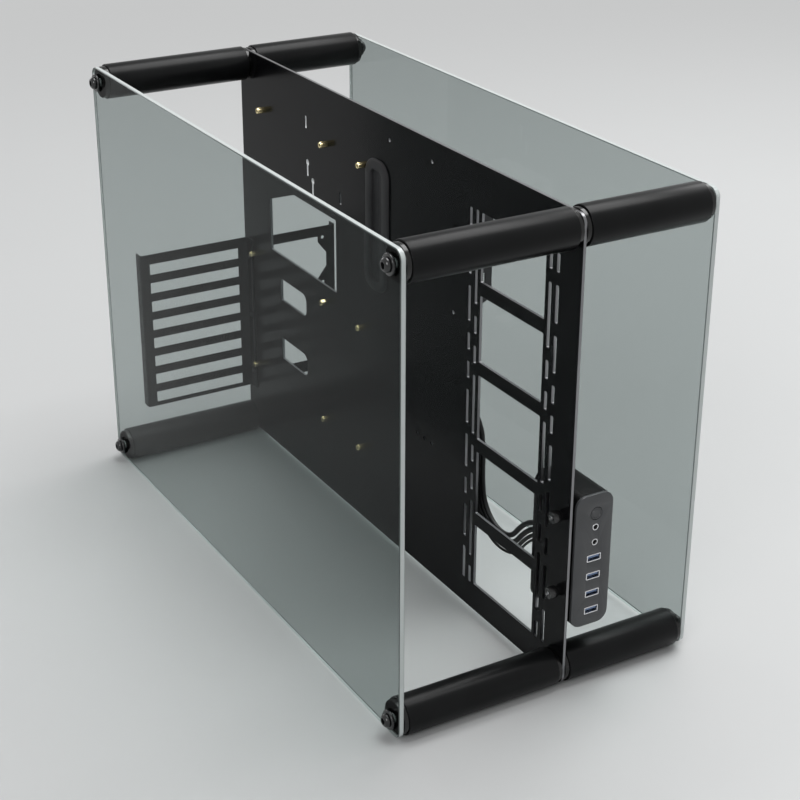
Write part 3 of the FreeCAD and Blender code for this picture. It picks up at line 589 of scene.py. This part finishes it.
def case_finish(slot):
    """One of the case's finishes, from its colour, mean roughness, spread of roughness and options."""
    tints = bpy.context.scene.case_colours
    along, across, posts = (0.02, 1.0, 1.0), (1.0, 0.03, 1.0), (3.0, 0.6, 0.6)
    table = {
        "tray_black": (tints.tray, 0.20, 0.015,
                       dict(grain=3200.0, relief=0.0000003, lift=1.3, specular=0.09)),
        # Paler metal on the tray's cut edges is a painted highlight
        "tray_edge_highlight": (tints.tray_edge_highlight, 0.32, 0.10,
                      dict(metal=1.0, grain=1800.0, relief=0.000002, lift=1.3)),
        # Near-white walls in the keyholes and the tie slot: painted light
        "keyhole_painted_light": (tints.keyhole_painted_light, 0.40, 0.10, dict(grain=1800.0, relief=0.000002, lift=1.2)),
        "tube_black": (tints.tube, 0.31, 0.05,
                       dict(grain=2600.0, relief=0.000005, lift=1.5, specular=0.15)),
        "plug_black": (tints.plug, 0.19, 0.06, dict(grain=1500.0, relief=0.000002, lift=1.4)),
        "fixing_black": (tints.fixing, 0.17, 0.06,
                         dict(grain=2200.0, relief=0.000002, lift=1.8, specular=0.7)),
        "stud_steel": (tints.steel, 0.34, 0.12,
                       dict(metal=1.0, grain=1400.0, stretch=along, relief=0.00001)),
        "standoff_brass": (tints.brass, 0.17, 0.10,
                           dict(metal=1.0, grain=1800.0, stretch=posts, relief=0.00001, lift=1.3)),
        "bracket_black": (tints.bracket, 0.34, 0.06,
                          dict(grain=2400.0, relief=0.000005, lift=1.5, specular=0.14)),
        "cradle_grey": (tints.cradle, 0.36, 0.06,
                        dict(grain=2400.0, relief=0.000005, lift=1.3, specular=0.3)),
        "black_rubber": (tints.rubber, 0.62, 0.14,
                         dict(grain=1300.0, relief=0.00005, lift=1.6, specular=0.35)),
        "face_grey": (tints.face, 0.36, 0.10, dict(grain=3000.0, relief=0.000012, lift=1.25)),
        "housing_black": (tints.housing, 0.42, 0.08,
                          dict(grain=1700.0, relief=0.00001, lift=1.5, specular=0.1)),
        "circuit_green": (tints.board, 0.32, 0.10, dict(grain=700.0, relief=0.00002, lift=1.7, coat=0.4)),
        "port_steel": (tints.steel, 0.24, 0.10,
                       dict(metal=1.0, grain=2600.0, stretch=across, relief=0.000006, lift=1.25)),
        "contact_gold": (tints.gold, 0.22, 0.08,
                         dict(metal=1.0, grain=2600.0, stretch=across, relief=0.000004, lift=1.2)),
        "tongue_blue": (tints.tongue, 0.36, 0.10, dict(grain=2600.0, relief=0.00001, lift=1.3)),
        "jack_black": (tints.jack, 0.40, 0.10, dict(grain=2200.0, relief=0.00001, lift=1.4)),
        "key_black": (tints.key, 0.30, 0.10, dict(grain=3200.0, relief=0.000008, lift=1.3)),
        "cable_black": (tints.cable, 0.46, 0.14, dict(grain=1500.0, relief=0.00003, lift=1.6)),
        "header_black": (tints.header, 0.44, 0.12, dict(grain=1900.0, relief=0.00002, lift=1.5)),
    }
    shade, rough, spread, options = table[slot]
    return finish(slot + "_finish", tuple(shade), rough, spread, **options)


def glass_finish(name, tint, rough, spread, transmission, bend):
    """Glass that lets the lamps through, with faint handling marks; bend is its index."""
    made = bpy.data.materials.get(name)
    if made:
        return made
    made = bpy.data.materials.new(name)
    made.use_nodes = True
    tree = made.node_tree
    surface, output = tree.nodes["Principled BSDF"], tree.nodes["Material Output"]
    where = node(tree, "ShaderNodeTexCoord").outputs["Object"]
    handling(tree, surface, where, rough, spread)
    surface.inputs["Base Color"].default_value = (*tint, 1)
    surface.inputs["Transmission Weight"].default_value = transmission
    surface.inputs["IOR"].default_value = bend
    clear = node(tree, "ShaderNodeBsdfTransparent", ("Color", (*[c ** 0.5 for c in tint], 1)))
    rays = node(tree, "ShaderNodeLightPath")
    mix = node(tree, "ShaderNodeMixShader", (0, rays.outputs["Is Shadow Ray"]), (1, surface.outputs[0]),
               (2, clear.outputs[0]))
    tree.links.new(mix.outputs[0], output.inputs["Surface"])
    made.diffuse_color = (*tint, 0.4)
    return made


# Pieces


class CASE_OT_cables(bpy.types.Operator):
    """Front panel cables behind the tray, with their header plugs"""
    bl_idname = "case.cables"
    bl_label = "Cables"

    # Diameter and length in metres, stiffness, header plug, and the route in millimetres
    routes = {
        "usb_cable_1": (0.0048, 0.3736, "medium", "usb_header_1", (
            (39.0, -233.0, 114.0), (39.0, -213.0, 114.0), (39.8, -191.4, 99.0), (40.6, -174.5, 77.9),
            (41.0, -149.8, 75.2), (40.4, -130.6, 91.0), (39.6, -127.6, 116.6), (38.6, -129.6, 143.5),
            (36.6, -128.6, 170.2), (32.0, -110.8, 190.4), (26.4, -83.2, 192.2), (22.6, -62.2, 174.0),
            (21.7, -60.0, 147.2), (21.9, -59.6, 122.2), (25.6, -55.6, 99.0), (31.0, -53.4, 78.0))),
        "usb_cable_2": (0.0048, 0.3634, "medium", "usb_header_2", (
            (39.0, -233.0, 108.0), (39.0, -214.4, 108.0), (40.1, -194.8, 93.2), (41.0, -177.2, 71.6),
            (41.4, -147.9, 69.0), (40.8, -125.4, 87.6), (40.0, -121.8, 116.0), (38.8, -124.2, 143.2),
            (36.8, -123.2, 168.0), (32.2, -108.2, 185.0), (26.6, -85.0, 186.6), (22.7, -67.4, 171.4),
            (21.7, -65.4, 147.1), (21.9, -65.6, 122.0), (25.6, -67.4, 100.6), (31.0, -68.8, 80.6))),
        "audio_cable": (0.0036, 0.3543, "medium", "audio_header", (
            (39.0, -233.0, 103.2), (39.0, -216.4, 103.2), (39.6, -198.0, 89.4), (40.2, -179.6, 66.4),
            (40.4, -146.5, 63.0), (40.0, -121.0, 84.6), (39.2, -117.2, 116.2), (38.2, -119.6, 143.6),
            (36.0, -118.8, 166.2), (31.4, -106.0, 180.4), (26.0, -86.6, 181.6), (22.0, -71.8, 169.0),
            (21.1, -70.0, 146.9), (21.2, -70.1, 122.4), (22.8, -75.6, 102.0), (25.2, -79.4, 84.0))),
        "switch_cable": (0.0024, 0.3470, "limp", "switch_header", (
            (39.0, -233.0, 99.4), (39.0, -217.4, 99.4), (39.4, -200.2, 86.2), (39.8, -181.8, 62.6),
            (39.9, -145.4, 58.8), (39.5, -117.6, 82.8), (38.7, -113.4, 115.4), (37.7, -116.0, 143.0),
            (35.4, -115.4, 164.6), (30.8, -104.4, 176.8), (25.4, -87.9, 178.0), (21.4, -75.2, 167.2),
            (20.5, -73.4, 146.8), (20.6, -73.5, 122.8), (21.0, -81.0, 104.0), (21.6, -87.6, 88.0))),
    }

    # Columns and rows of contacts, their pitch and the plug's height, in millimetres
    contacts = {"usb_header_1": (10, 2, 2.0, 18.0), "usb_header_2": (10, 2, 2.0, 18.0),
                "audio_header": (5, 2, 2.3, 14.0), "switch_header": (2, 1, 2.4, 14.0)}

    def contact_mouths(self, header, route):
        """Plated mouths of the contacts on a header plug's end face."""
        columns, rows, pitch, height = self.contacts[header]
        along = (mm(*route[-1]) - mm(*route[-2])).normalized()
        across = (Vector((1, 0, 0)) - along * along.x).normalized()
        sunk = 0.0002
        middle = mm(*route[-1]) + along * (mm(height) - sunk)
        turn = Matrix((across, along.cross(across), along)).transposed()
        place = Matrix.Translation(middle) @ turn.to_4x4()
        loops = []
        for i in range(columns):
            for j in range(rows):
                a, b = (i - (columns - 1) / 2) * pitch, (j - (rows - 1) / 2) * pitch
                loops += [rounded(a - half, a + half, b - half, b + half, 0.15, 2) for half in (0.7, 0.45)]
        return cut_sheet(header + "_contacts", loops, 0.25, place, case_finish("contact_gold"))

    def execute(self, context):
        for name, (diameter, long, stiffness, header, route) in self.routes.items():
            plug = eased_copy(header + "_plug", header, 0.0005, case_finish("header_black"), 2)
            dress(plug, "header_black", header)
            mouths = dress(self.contact_mouths(header, route), "port_steel")
            curve = bpy.data.curves.new(name + "_jacket", "CURVE")
            curve.dimensions = "3D"
            line = curve.splines.new("NURBS")
            line.points.add(len(route) - 1)
            for point, place in zip(line.points, route):
                point.co = (*mm(*place), 1)
            line.order_u = 3
            line.use_endpoint_u = True
            line.resolution_u = 8
            curve.bevel_depth = diameter / 2
            curve.bevel_resolution = 4
            curve.use_fill_caps = True
            curve.materials.append(case_finish("cable_black"))
            jacket = linked(name + "_jacket", curve)
            dress(jacket, "cable_black", name)
        return {"FINISHED"}


class CASE_OT_glass(bpy.types.Operator):
    """Two smoked glass panels with polished rims"""
    bl_idname = "case.glass"
    bl_label = "Glass panels"

    def execute(self, context):
        tints = context.scene.case_colours
        pane = glass_finish("smoked_glass_finish", tuple(tints.glass), 0.0, 0.02, 1.0, 1.11)
        # Pale rim colour: a painted highlight along the polished edges
        rim = glass_finish("polished_rim_highlight_finish", tuple(tints.glass_rim_highlight), 0.12, 0.05, 0.2, 1.5)
        # Dark arrises beside the rim: painted shade
        arris = glass_finish("dark_arris_shade_finish", tuple(tints.glass_arris_shade), 0.30, 0.10, 0.5, 1.3)
        loops = [rounded(*PLATE)] + [circle(y, z, BOLT_HOLE, 24) for y, z in CORNERS]
        ease = context.scene.case_sizes.glass_ease
        for side, x in (("left", LEFT_OUTER), ("right", RIGHT_INNER)):
            place = Matrix.Translation(mm(x, 0, 0)) @ UPRIGHT
            panel = cut_sheet(f"{side}_smoked_panel", loops, RIGHT_OUTER - RIGHT_INNER, place, pane, ease)
            panel.data.materials.clear()
            for glass in (pane, rim, arris):
                panel.data.materials.append(glass)
            for face in panel.data.polygons:
                across = abs(face.normal.x)
                face.material_index = 0 if across > BROAD else 1 if across < WALL else 2
            dress(panel, "smoked_glass", f"{side}_glass_panel")
        return {"FINISHED"}


class CASE_OT_tray(bpy.types.Operator):
    """Motherboard tray with its ladder, slot columns, cut-outs and holes"""
    bl_idname = "case.tray"
    bl_label = "Motherboard tray"

    def execute(self, context):
        sizes = context.scene.case_sizes
        place = Matrix.Translation(mm(TRAY_LEFT, 0, 0)) @ UPRIGHT
        tray = cut_sheet("slotted_tray", self.single_cuts(), TRAY_RIGHT - TRAY_LEFT, place,
                         case_finish("tray_black"), sizes.tray_ease, self.repeated_cuts(),
                         sizes.slot_corner)
        tray.data.materials.clear()
        for coat in ("tray_black", "tray_edge_highlight", "keyhole_painted_light"):
            tray.data.materials.append(case_finish(coat))
        for face in tray.data.polygons:
            # The walls of the keyholes and of the tie slot above them are near-white: painted light that
            # makes the keyholes read bright
            near_keyholes = 0.13 < face.center.y < 0.16 and 0.30 < face.center.z < 0.39
            # The other cut walls get the paler metal, a painted highlight along the edges
            face.material_index = 0 if abs(face.normal.x) >= WALL else 2 if near_keyholes else 1
        dress(tray, "tray_black", "motherboard_tray")
        return {"FINISHED"}

    def repeated_cuts(self):
        """Ladder windows, two pairs of slot columns and the tie slots, as (width, height, places)."""
        ladder_y, middle_z = -202.0, 203.0
        window_pitch, fan_pitch = 72.0, 120.0
        inner_column, outer_column = 52.5, 62.25
        slot, long_slot, short_slot, bridge = 4, 31.5, 15.5, 10.8
        windows = [(ladder_y, middle_z + step * window_pitch) for step in (-2, -1, 0, 1, 2)]
        fans = [(ladder_y + side * inner_column, middle_z + fan * fan_pitch)
                for side in (-1, 1) for fan in (-1, 0, 1)]
        ends = [(y, z + side * 46.5) for y, z in fans for side in (-1, 1)]
        long, short = [], []
        for side in (-1, 1):
            top = middle_z + 174.1
            for kind in "SLLSSLLSLL":
                height = short_slot if kind == "S" else long_slot
                (short if kind == "S" else long).append((ladder_y + side * outer_column, top - height / 2))
                top -= height + bridge
        ties = [(154.0, 374.7), (86.2, 318.4)]
        return ((92, 60, windows), (slot, 55, fans), (slot, 16, ends), (slot, long_slot, long),
                (slot, short_slot, short), (3.2, 12, ties))

    def single_cuts(self):
        """The tray's outline, grommet slot, cooler cut-out, cable holes, keyholes and round holes."""
        loops = [rounded(*PLATE), rounded(2, 28, 258.5, 368.5, 9, 8),
                 [(93, 222), (233, 222), (233, 275.5), (180, 295), (93, 295)]]
        for low in (108.3, 173.4):
            loops.append(arc(165, low + 8, 8, 180, 270, 8) + [(213, low), (213, low + 23.4)]
                         + arc(165, low + 15.4, 8, 90, 180, 8))
        head, neck, drop = 3.0, 1.6, 12.0
        lean = math.degrees(math.asin(neck / head))
        for y, z in ((152.0, 335.5), (141.7, 319.5)):
            loops.append(arc(y, z, head, -90 + lean, 270 - lean, 28) + arc(y, z - drop, neck, 180, 360, 8))
        small = [(-114.4, 275.6), (-76.8, 398.4), (-5.2, 398.4), (-82.2, 137), (-69.9, 137), (-57.6, 137)]
        loops += [circle(y, z, 1.8, 20) for y, z in small]
        return loops + [circle(y, z, BOLT_HOLE, 20) for y, z in CORNERS]


class CASE_OT_tubes(bpy.types.Operator):
    """Eight round tubes and the dark plugs in their ends"""
    bl_idname = "case.tubes"
    bl_label = "Tubes and plugs"

    def execute(self, context):
        edge = context.scene.case_sizes.tube_edge
        plug_long, plug_proud = 16.0, 4.0
        for side, start, stop in (("left", LEFT_INNER, TRAY_LEFT), ("right", TRAY_RIGHT, RIGHT_INNER)):
            middles = [((start + stop) / 2, y, z) for y, z in CORNERS]
            tubes = turned_rings(f"{side}_satin_tubes", middles, TO_RIGHT, radius=16.45, bore=15.0,
                                 long=stop - start - 2 * plug_proud, edge=edge,
                                 material=case_finish("tube_black"), segments=96)
            dress(tubes, "tube_black", f"{side}_tubes")
            seats = [(x, y, z) for y, z in CORNERS for x in (start + plug_long / 2, stop - plug_long / 2)]
            plugs = turned_rings(f"{side}_dark_plugs", seats, TO_RIGHT, radius=14.9, bore=3.05,
                                 long=plug_long, edge=0.0004, material=case_finish("plug_black"),
                                 segments=72)
            dress(plugs, "plug_black", f"{side}_tube_plugs")
        paint("tray_studs", case_finish("stud_steel"))
        return {"FINISHED"}


class CASE_OT_fixings(bpy.types.Operator):
    """Washers and socket-head screws on the outside of the glass"""
    bl_idname = "case.fixings"
    bl_label = "Glass fixings"

    def execute(self, context):
        edge = context.scene.case_sizes.washer_edge
        black = case_finish("fixing_black")
        washer = 3.0
        profile = [(0, -20.0), (2.6, -20.0), (3.0, -19.4), (3.0, 0), (5.3, 0), (5.8, 0.5), (5.8, 1.3),
                   (5.6, 2.1), (5.1, 2.9), (4.4, 3.55), (3.7, 3.92), (3.3, 4.0), (2.75, 4.0, "hex"),
                   (2.5, 3.75, "hex"), (2.5, 1.5, "hex"), (0, 1.2)]
        for side, x, outward, turn in (("left", LEFT_OUTER, -1, TO_LEFT),
                                       ("right", RIGHT_OUTER, 1, TO_RIGHT)):
            seats = [(x + outward * washer / 2, y, z) for y, z in CORNERS]
            washers = turned_rings(f"{side}_round_washers", seats, turn, radius=8.5, bore=BOLT_HOLE,
                                   long=washer, edge=edge, material=black)
            dress(washers, "fixing_black", f"{side}_glass_washers")
            places = [(x + outward * washer, y, z) for y, z in CORNERS]
            screws = set_out(f"{side}_socket_screws", turned("socket_screw", profile), places, turn, black)
            dress(screws, "fixing_black", f"{side}_glass_screws")
        return {"FINISHED"}


class CASE_OT_standoffs(bpy.types.Operator):
    """Brass standoffs that carry the board"""
    bl_idname = "case.standoffs"
    bl_label = "Board standoffs"

    def execute(self, context):
        profile = [(0, 0), (2.75, 0, "hex"), (2.75, 7.3, "hex"), (2.55, 8.0), (1.5, 8.0), (1.25, 7.75),
                   (1.25, 2.0), (0, 1.4)]
        # Height of each row and the place of its rearmost post
        rows = ((364.3, 243.48), (206.82, 266.34), (82.36, 266.34))
        places = [(TRAY_LEFT, y, z) for z, rearmost in rows for y in (rearmost, 111.4, 39.01)]
        posts = set_out("brass_posts", turned("brass_post", profile), places, TO_LEFT,
                        case_finish("standoff_brass"))
        dress(posts, "standoff_brass", "board_standoffs")
        return {"FINISHED"}


class CASE_OT_brackets(bpy.types.Operator):
    """Folded brackets for cards, power supply and drive, with their screws"""
    bl_idname = "case.brackets"
    bl_label = "Brackets"

    def execute(self, context):
        ease = context.scene.case_sizes.bracket_ease
        for name, source, coat in (("card_bracket", "expansion_bracket", "bracket_black"),
                                   ("supply_frame", "supply_bracket", "bracket_black"),
                                   ("drive_cradle", "drive_bracket", "cradle_grey")):
            dress(eased_copy(name, source, ease, case_finish(coat)), "bracket_black", source)
        sheet = 1.5
        head = [(3.0, 0), (3.0, 0.6), (2.8, 1.2), (2.4, 1.7), (1.9, 2.0), (1.7, 2.0, "cross"),
                (1.4, 1.0, "cross"), (0, 0.8)]
        rear = [(TRAY_LEFT - sheet, 280.5, z) for z in (69.0, 134.0, 199.0)]
        drive = [(TRAY_RIGHT + sheet, y, z) for y in (-114.4, -53.6) for z in (303.0, 354.5)]
        for end, long, places, turn in (("rear", 6.0, rear, TO_LEFT), ("drive", 4.5, drive, TO_RIGHT)):
            shank = [(0, -long), (1.3, -long), (1.5, 0.3 - long), (1.5, 0)]
            screws = set_out(f"{end}_pan_screws", turned(f"{end}_pan_screw", shank + head), places, turn,
                             case_finish("fixing_black"))
            dress(screws, "fixing_black", f"{end}_bracket_screws")
        return {"FINISHED"}


class CASE_OT_rubber(bpy.types.Operator):
    """Rubber grommet in the tray, cable gland and cable clip"""
    bl_idname = "case.rubber"
    bl_label = "Grommet, gland and clip"

    def execute(self, context):
        rubber = case_finish("black_rubber")
        section = [(-3.0, 12.6), (-2.7, 11.8), (-2.0, 11.5), (5.4, 11.5), (6.5, 11.9), (7.0, 12.9),
                   (7.0, TRAY_LEFT), (-0.1, TRAY_LEFT), (-0.1, TRAY_RIGHT), (7.0, TRAY_RIGHT),
                   (7.0, 18.1), (6.5, 19.1), (5.4, 19.5), (-2.0, 19.5), (-2.7, 19.2), (-3.0, 18.4)]
        ring = swept_ring("rubber_grommet", (15.0, 313.5), (13.0, 55.0), 9.0, section, rubber)
        dress(ring, "black_rubber", "cable_grommet")
        # Slit rubber sheet across the grommet's opening: a dark sheet put there as painted shade, so the
        # opening reads dark
        leaves = [rounded(4.9, 25.1, 261.4, 365.6, 6.0, 6), rounded(14.6, 15.4, 268.5, 358.5, 0.39, 4)]
        place = Matrix.Translation(mm(15.0, 0, 0)) @ UPRIGHT
        dress(cut_sheet("slit_leaves", leaves, 0.9, place, rubber, 0.0002), "black_rubber")
        dress(eased_copy("rubber_gland", "cable_gland", 0.0005, rubber, 2), "black_rubber", "cable_gland")
        dress(eased_copy("moulded_clip", "cable_clip", 0.0004, rubber, 2), "black_rubber", "cable_clip")
        return {"FINISHED"}


class CASE_OT_panel_box(bpy.types.Operator):
    """Front panel: satin faceplate and moulded housing"""
    bl_idname = "case.panel_box"
    bl_label = "Front panel"

    def execute(self, context):
        loops = [rounded(20.5, 57.0, 55.4, 177.2, 10.0, 12), circle(PORT_X, BUTTON_HEIGHT, 5.7, 48)]
        loops += port_outlines(7.05, 3.35, 0.8) + [circle(PORT_X, z, 3.25, 36) for z in JACK_HEIGHTS]
        place = Matrix.Translation(mm(0, FACE_BACK, 0)) @ FACING
        plate = cut_sheet("satin_faceplate", loops, FACE_BACK - FACE_FRONT, place, case_finish("face_grey"),
                          context.scene.case_sizes.face_ease, steps=2)
        dress(plate, "face_grey", "panel_faceplate")
        box = eased_copy("moulded_housing", "panel_housing", 0.0005, case_finish("housing_black"), 2)
        dress(box, "housing_black", "panel_housing")
        paint("panel_circuit_board", case_finish("circuit_green"))
        return {"FINISHED"}


class CASE_OT_ports(bpy.types.Operator):
    """Port shells with tongues and contacts, and the audio jacks with their rings"""
    bl_idname = "case.ports"
    bl_label = "Ports"

    def execute(self, context):
        steel = case_finish("port_steel")
        loops = port_outlines(6.55, 2.85, 0.7) + port_outlines(6.15, 2.45, 0.35)
        place = Matrix.Translation(mm(0, -280.6, 0)) @ FACING
        shells = cut_sheet("folded_port_shells", loops, 14.0, place, steel, 0.00008)
        dress(shells, "port_steel", "usb_shells")
        lips = port_outlines(6.95, 3.25, 0.8) + port_outlines(5.95, 2.25, 0.35)
        place = Matrix.Translation(mm(0, -294.3, 0)) @ FACING
        dress(cut_sheet("flared_port_mouths", lips, 0.5, place, steel, 0.00015), "port_steel")
        tongues = eased_copy("moulded_tongues", "usb_tongues", 0.0001, case_finish("tongue_blue"))
        dress(tongues, "tongue_blue", "usb_tongues")
        bar = rounded(-0.5, 0.5, -3.2, 3.2, 0.3, 3)
        pattern = cut_sheet("contact_bar", [bar], 0.1, Matrix.Identity(4), case_finish("contact_gold"))
        mesh = pattern.data.copy()
        bpy.data.objects.remove(pattern)
        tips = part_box("usb_tongues")[0].y * 1000
        places = [(PORT_X + step, tips + 3.7, z - 0.12)
                  for z in USB_HEIGHTS for step in (-3.75, -1.25, 1.25, 3.75)]
        bars = set_out("contact_bars", mesh, places, None, case_finish("contact_gold"))
        dress(bars, "port_steel")
        jacks = eased_copy("jack_bodies", "audio_jacks", 0.00015, case_finish("jack_black"))
        dress(jacks, "jack_black", "audio_jacks")
        seats = [(PORT_X, -293.85, z) for z in JACK_HEIGHTS]
        rings = turned_rings("jack_rings", seats, TO_FRONT, radius=3.1, bore=2.05, long=1.9, edge=0.0003,
                             material=steel, segments=48)
        dress(rings, "port_steel")
        return {"FINISHED"}


class CASE_OT_power_key(bpy.types.Operator):
    """Round power key, flush in the faceplate, and the switch behind it"""
    bl_idname = "case.power_key"
    bl_label = "Power key"

    def execute(self, context):
        profile = [(0, -8.7), (1.3, -8.7), (1.5, -8.4), (1.5, -4.5), (6.3, -4.5), (6.6, -4.2), (6.6, -3.5),
                   (6.4, -3.3), (5.4, -3.3), (5.4, -0.45), (5.3, -0.2), (5.05, -0.03), (4.7, 0),
                   (4.4, -0.12), (4.2, -0.42), (3.9, -0.42), (3.7, -0.16), (2.4, -0.26), (1.2, -0.32),
                   (0, -0.34)]
        place = (PORT_X, FACE_FRONT, BUTTON_HEIGHT)
        key = set_out("dished_power_key", turned("power_key", profile, 72), [place], TO_FRONT,
                      case_finish("key_black"))
        dress(key, "key_black", "power_button", body="button")
        paint("power_switch", case_finish("jack_black"))
        return {"FINISHED"}


class CASE_OT_thumbscrews(bpy.types.Operator):
    """Two knurled thumbscrews that hold the front panel to the tray"""
    bl_idname = "case.thumbscrews"
    bl_label = "Thumbscrews"

    def execute(self, context):
        profile = [(0, -12.0), (1.7, -12.0), (2.0, -11.6), (2.0, 0), (3.9, 0), (3.9, 1.6), (4.5, 1.9),
                   (4.9, 2.2), (5.2, 2.6, "knurl"), (5.2, 8.6, "knurl"), (4.85, 9.1), (4.4, 9.4),
                   (3.4, 9.4), (3.1, 9.0), (0, 9.0)]
        mesh = turned("thumbscrew", profile, 2 * context.scene.case_sizes.knurls)
        seats = [(TRAY_LEFT, -283.0, z) for z in (89.2, 159.4)]
        knobs = set_out("knurled_knobs", mesh, seats, TO_LEFT, case_finish("fixing_black"))
        dress(knobs, "fixing_black", "panel_thumbscrews")
        # Pale metal pins on the knobs' ends: painted glints on the thumbscrews
        tip = [(0, 8.0), (1.5, 8.0), (1.5, 9.5), (1.2, 9.9), (0.7, 10.0), (0.6, 9.6), (0, 9.5)]
        pins = set_out("bright_pins", turned("glint_pin", tip), seats, TO_LEFT, case_finish("tray_edge_highlight"))
        dress(pins, "stud_steel")
        return {"FINISHED"}


class CASE_OT_stage(bpy.types.Operator):
    """Pale floor, soft lamps and the camera"""
    bl_idname = "case.stage"
    bl_label = "Stage"

    # Place and size in metres, and power in watts
    lamps = {"overhead_lamp": ((0.9, 0.2, 3.2), 2.2, 86), "front_lamp": ((-2.5, -2.0, 2.1), 1.5, 34),
             "right_lamp": ((2.3, 0.7, 1.5), 1.2, 16), "rear_lamp": ((-0.5, 3.0, 1.1), 1.2, 9)}

    def execute(self, context):
        scene = context.scene
        scene.view_settings.view_transform = "Standard"
        shade = tuple(scene.case_colours.floor)
        self.floor(shade)
        for name, (place, size, power) in self.lamps.items():
            self.lamp(name, place, size, power)
        self.backdrop(scene, shade)
        self.camera(scene)
        return {"FINISHED"}

    def floor(self, shade):
        reach = 14
        corners = ((-reach, -reach, 0), (reach, -reach, 0), (reach, reach, 0), (-reach, reach, 0))
        mesh = bpy.data.meshes.new("studio_floor")
        mesh.from_pydata(corners, [], [(0, 1, 2, 3)])
        floor = linked("studio_floor", mesh)
        pale = finish("pale_floor_finish", shade, 0.42, 0.06, grain=90.0, relief=0.00001, lift=1.03,
                      specular=0.35)
        mesh.materials.append(pale)
        self.fade_far_floor(pale.node_tree, shade)

    def backdrop(self, scene, shade):
        """Soft even light from all round, behind a backdrop of the floor's colour."""
        world = scene.world or bpy.data.worlds.new("studio")
        scene.world = world
        world.use_nodes = True
        tree = world.node_tree
        light, output = tree.nodes["Background"], tree.nodes["World Output"]
        light.inputs["Color"].default_value = (0.80, 0.82, 0.83, 1)
        light.inputs["Strength"].default_value = 0.34
        backdrop = node(tree, "ShaderNodeBackground", ("Color", (*shade, 1)), ("Strength", 1.0))
        mix = node(tree, "ShaderNodeMixShader", (0, self.looking_rays(tree)), (1, light.outputs[0]),
                   (2, backdrop.outputs[0]))
        tree.links.new(mix.outputs[0], output.inputs["Surface"])

    def camera(self, scene):
        lens = bpy.data.cameras.new("photo_camera")
        lens.sensor_width, lens.lens = 36.0, 79.117
        lens.shift_x, lens.shift_y = -0.00407, -0.00529
        lens.clip_start, lens.clip_end = 0.05, 60.0
        camera = bpy.data.objects.new("photo_camera", lens)
        scene.collection.objects.link(camera)
        camera.rotation_mode = "QUATERNION"
        camera.location = (-0.72288, -1.28969, 0.84205)
        camera.rotation_quaternion = Quaternion((0.814254, 0.518595, -0.14198, -0.21884))
        scene.camera = camera

    def looking_rays(self, tree):
        """1 for rays that show the background, straight, mirrored or through glass."""
        rays = node(tree, "ShaderNodeLightPath").outputs
        direct = node(tree, "ShaderNodeMath", (0, rays["Is Camera Ray"]), (1, rays["Is Glossy Ray"]),
                      operation="MAXIMUM")
        every = node(tree, "ShaderNodeMath", (0, direct.outputs[0]), (1, rays["Is Transmission Ray"]),
                     operation="MAXIMUM")
        return every.outputs[0]

    def fade_far_floor(self, tree, shade):
        """Far from the case the floor runs into the backdrop without a horizon."""
        surface, output = tree.nodes["Principled BSDF"], tree.nodes["Material Output"]
        where = node(tree, "ShaderNodeTexCoord").outputs["Object"]
        away = node(tree, "ShaderNodeVectorMath", (0, where), operation="LENGTH")
        far = node(tree, "ShaderNodeMapRange", ("Value", away.outputs["Value"]), ("From Min", 0.7),
                   ("From Max", 3.2), interpolation_type="SMOOTHSTEP")
        share = node(tree, "ShaderNodeMath", (0, far.outputs[0]), (1, self.looking_rays(tree)),
                     operation="MULTIPLY")
        glow = node(tree, "ShaderNodeEmission", ("Color", (*shade, 1)), ("Strength", 1.0))
        mix = node(tree, "ShaderNodeMixShader", (0, share.outputs[0]), (1, surface.outputs[0]),
                   (2, glow.outputs[0]))
        tree.links.new(mix.outputs[0], output.inputs["Surface"])

    def lamp(self, name, place, size, power):
        """Square lamp turned towards the case's lower middle."""
        aim = (0, 0, 0.2)
        light = bpy.data.lights.new(name, "AREA")
        light.shape, light.size, light.energy = "SQUARE", size, power
        lamp = bpy.data.objects.new(name, light)
        bpy.context.scene.collection.objects.link(lamp)
        lamp.location = place
        lamp.rotation_mode = "QUATERNION"
        lamp.rotation_quaternion = (Vector(aim) - Vector(place)).to_track_quat("-Z", "Y")


OPERATORS = (CASE_OT_cables, CASE_OT_glass, CASE_OT_tray, CASE_OT_tubes, CASE_OT_fixings, CASE_OT_standoffs,
             CASE_OT_brackets, CASE_OT_rubber, CASE_OT_panel_box, CASE_OT_ports, CASE_OT_power_key,
             CASE_OT_thumbscrews, CASE_OT_stage)


class CASE_PT_sidebar(bpy.types.Panel):
    """Sizes, colours and pieces of the case"""
    bl_idname = "CASE_PT_sidebar"
    bl_label = "Computer Case"
    bl_space_type = "VIEW_3D"
    bl_region_type = "UI"
    bl_category = "Case"

    def draw(self, context):
        layout = self.layout
        for group in (context.scene.case_sizes, context.scene.case_colours):
            box = layout.box()
            for name in group.__annotations__:
                box.prop(group, name)
        for operator in OPERATORS:
            layout.operator(operator.bl_idname)


CLASSES = (CaseSizes, CaseColours, *OPERATORS, CASE_PT_sidebar)


def register():
    for kind in CLASSES:
        bpy.utils.register_class(kind)
    bpy.types.Scene.case_sizes = bpy.props.PointerProperty(type=CaseSizes)
    bpy.types.Scene.case_colours = bpy.props.PointerProperty(type=CaseColours)


def unregister():
    del bpy.types.Scene.case_colours
    del bpy.types.Scene.case_sizes
    for kind in reversed(CLASSES):
        bpy.utils.unregister_class(kind)


def main():
    register()
    bpy.ops.case.stage()
    bpy.ops.case.cables()
    bpy.ops.case.glass()
    bpy.ops.case.tray()
    bpy.ops.case.tubes()
    bpy.ops.case.fixings()
    bpy.ops.case.standoffs()
    bpy.ops.case.brackets()
    bpy.ops.case.rubber()
    bpy.ops.case.panel_box()
    bpy.ops.case.ports()
    bpy.ops.case.power_key()
    bpy.ops.case.thumbscrews()


if __name__ == "__main__":
    main()
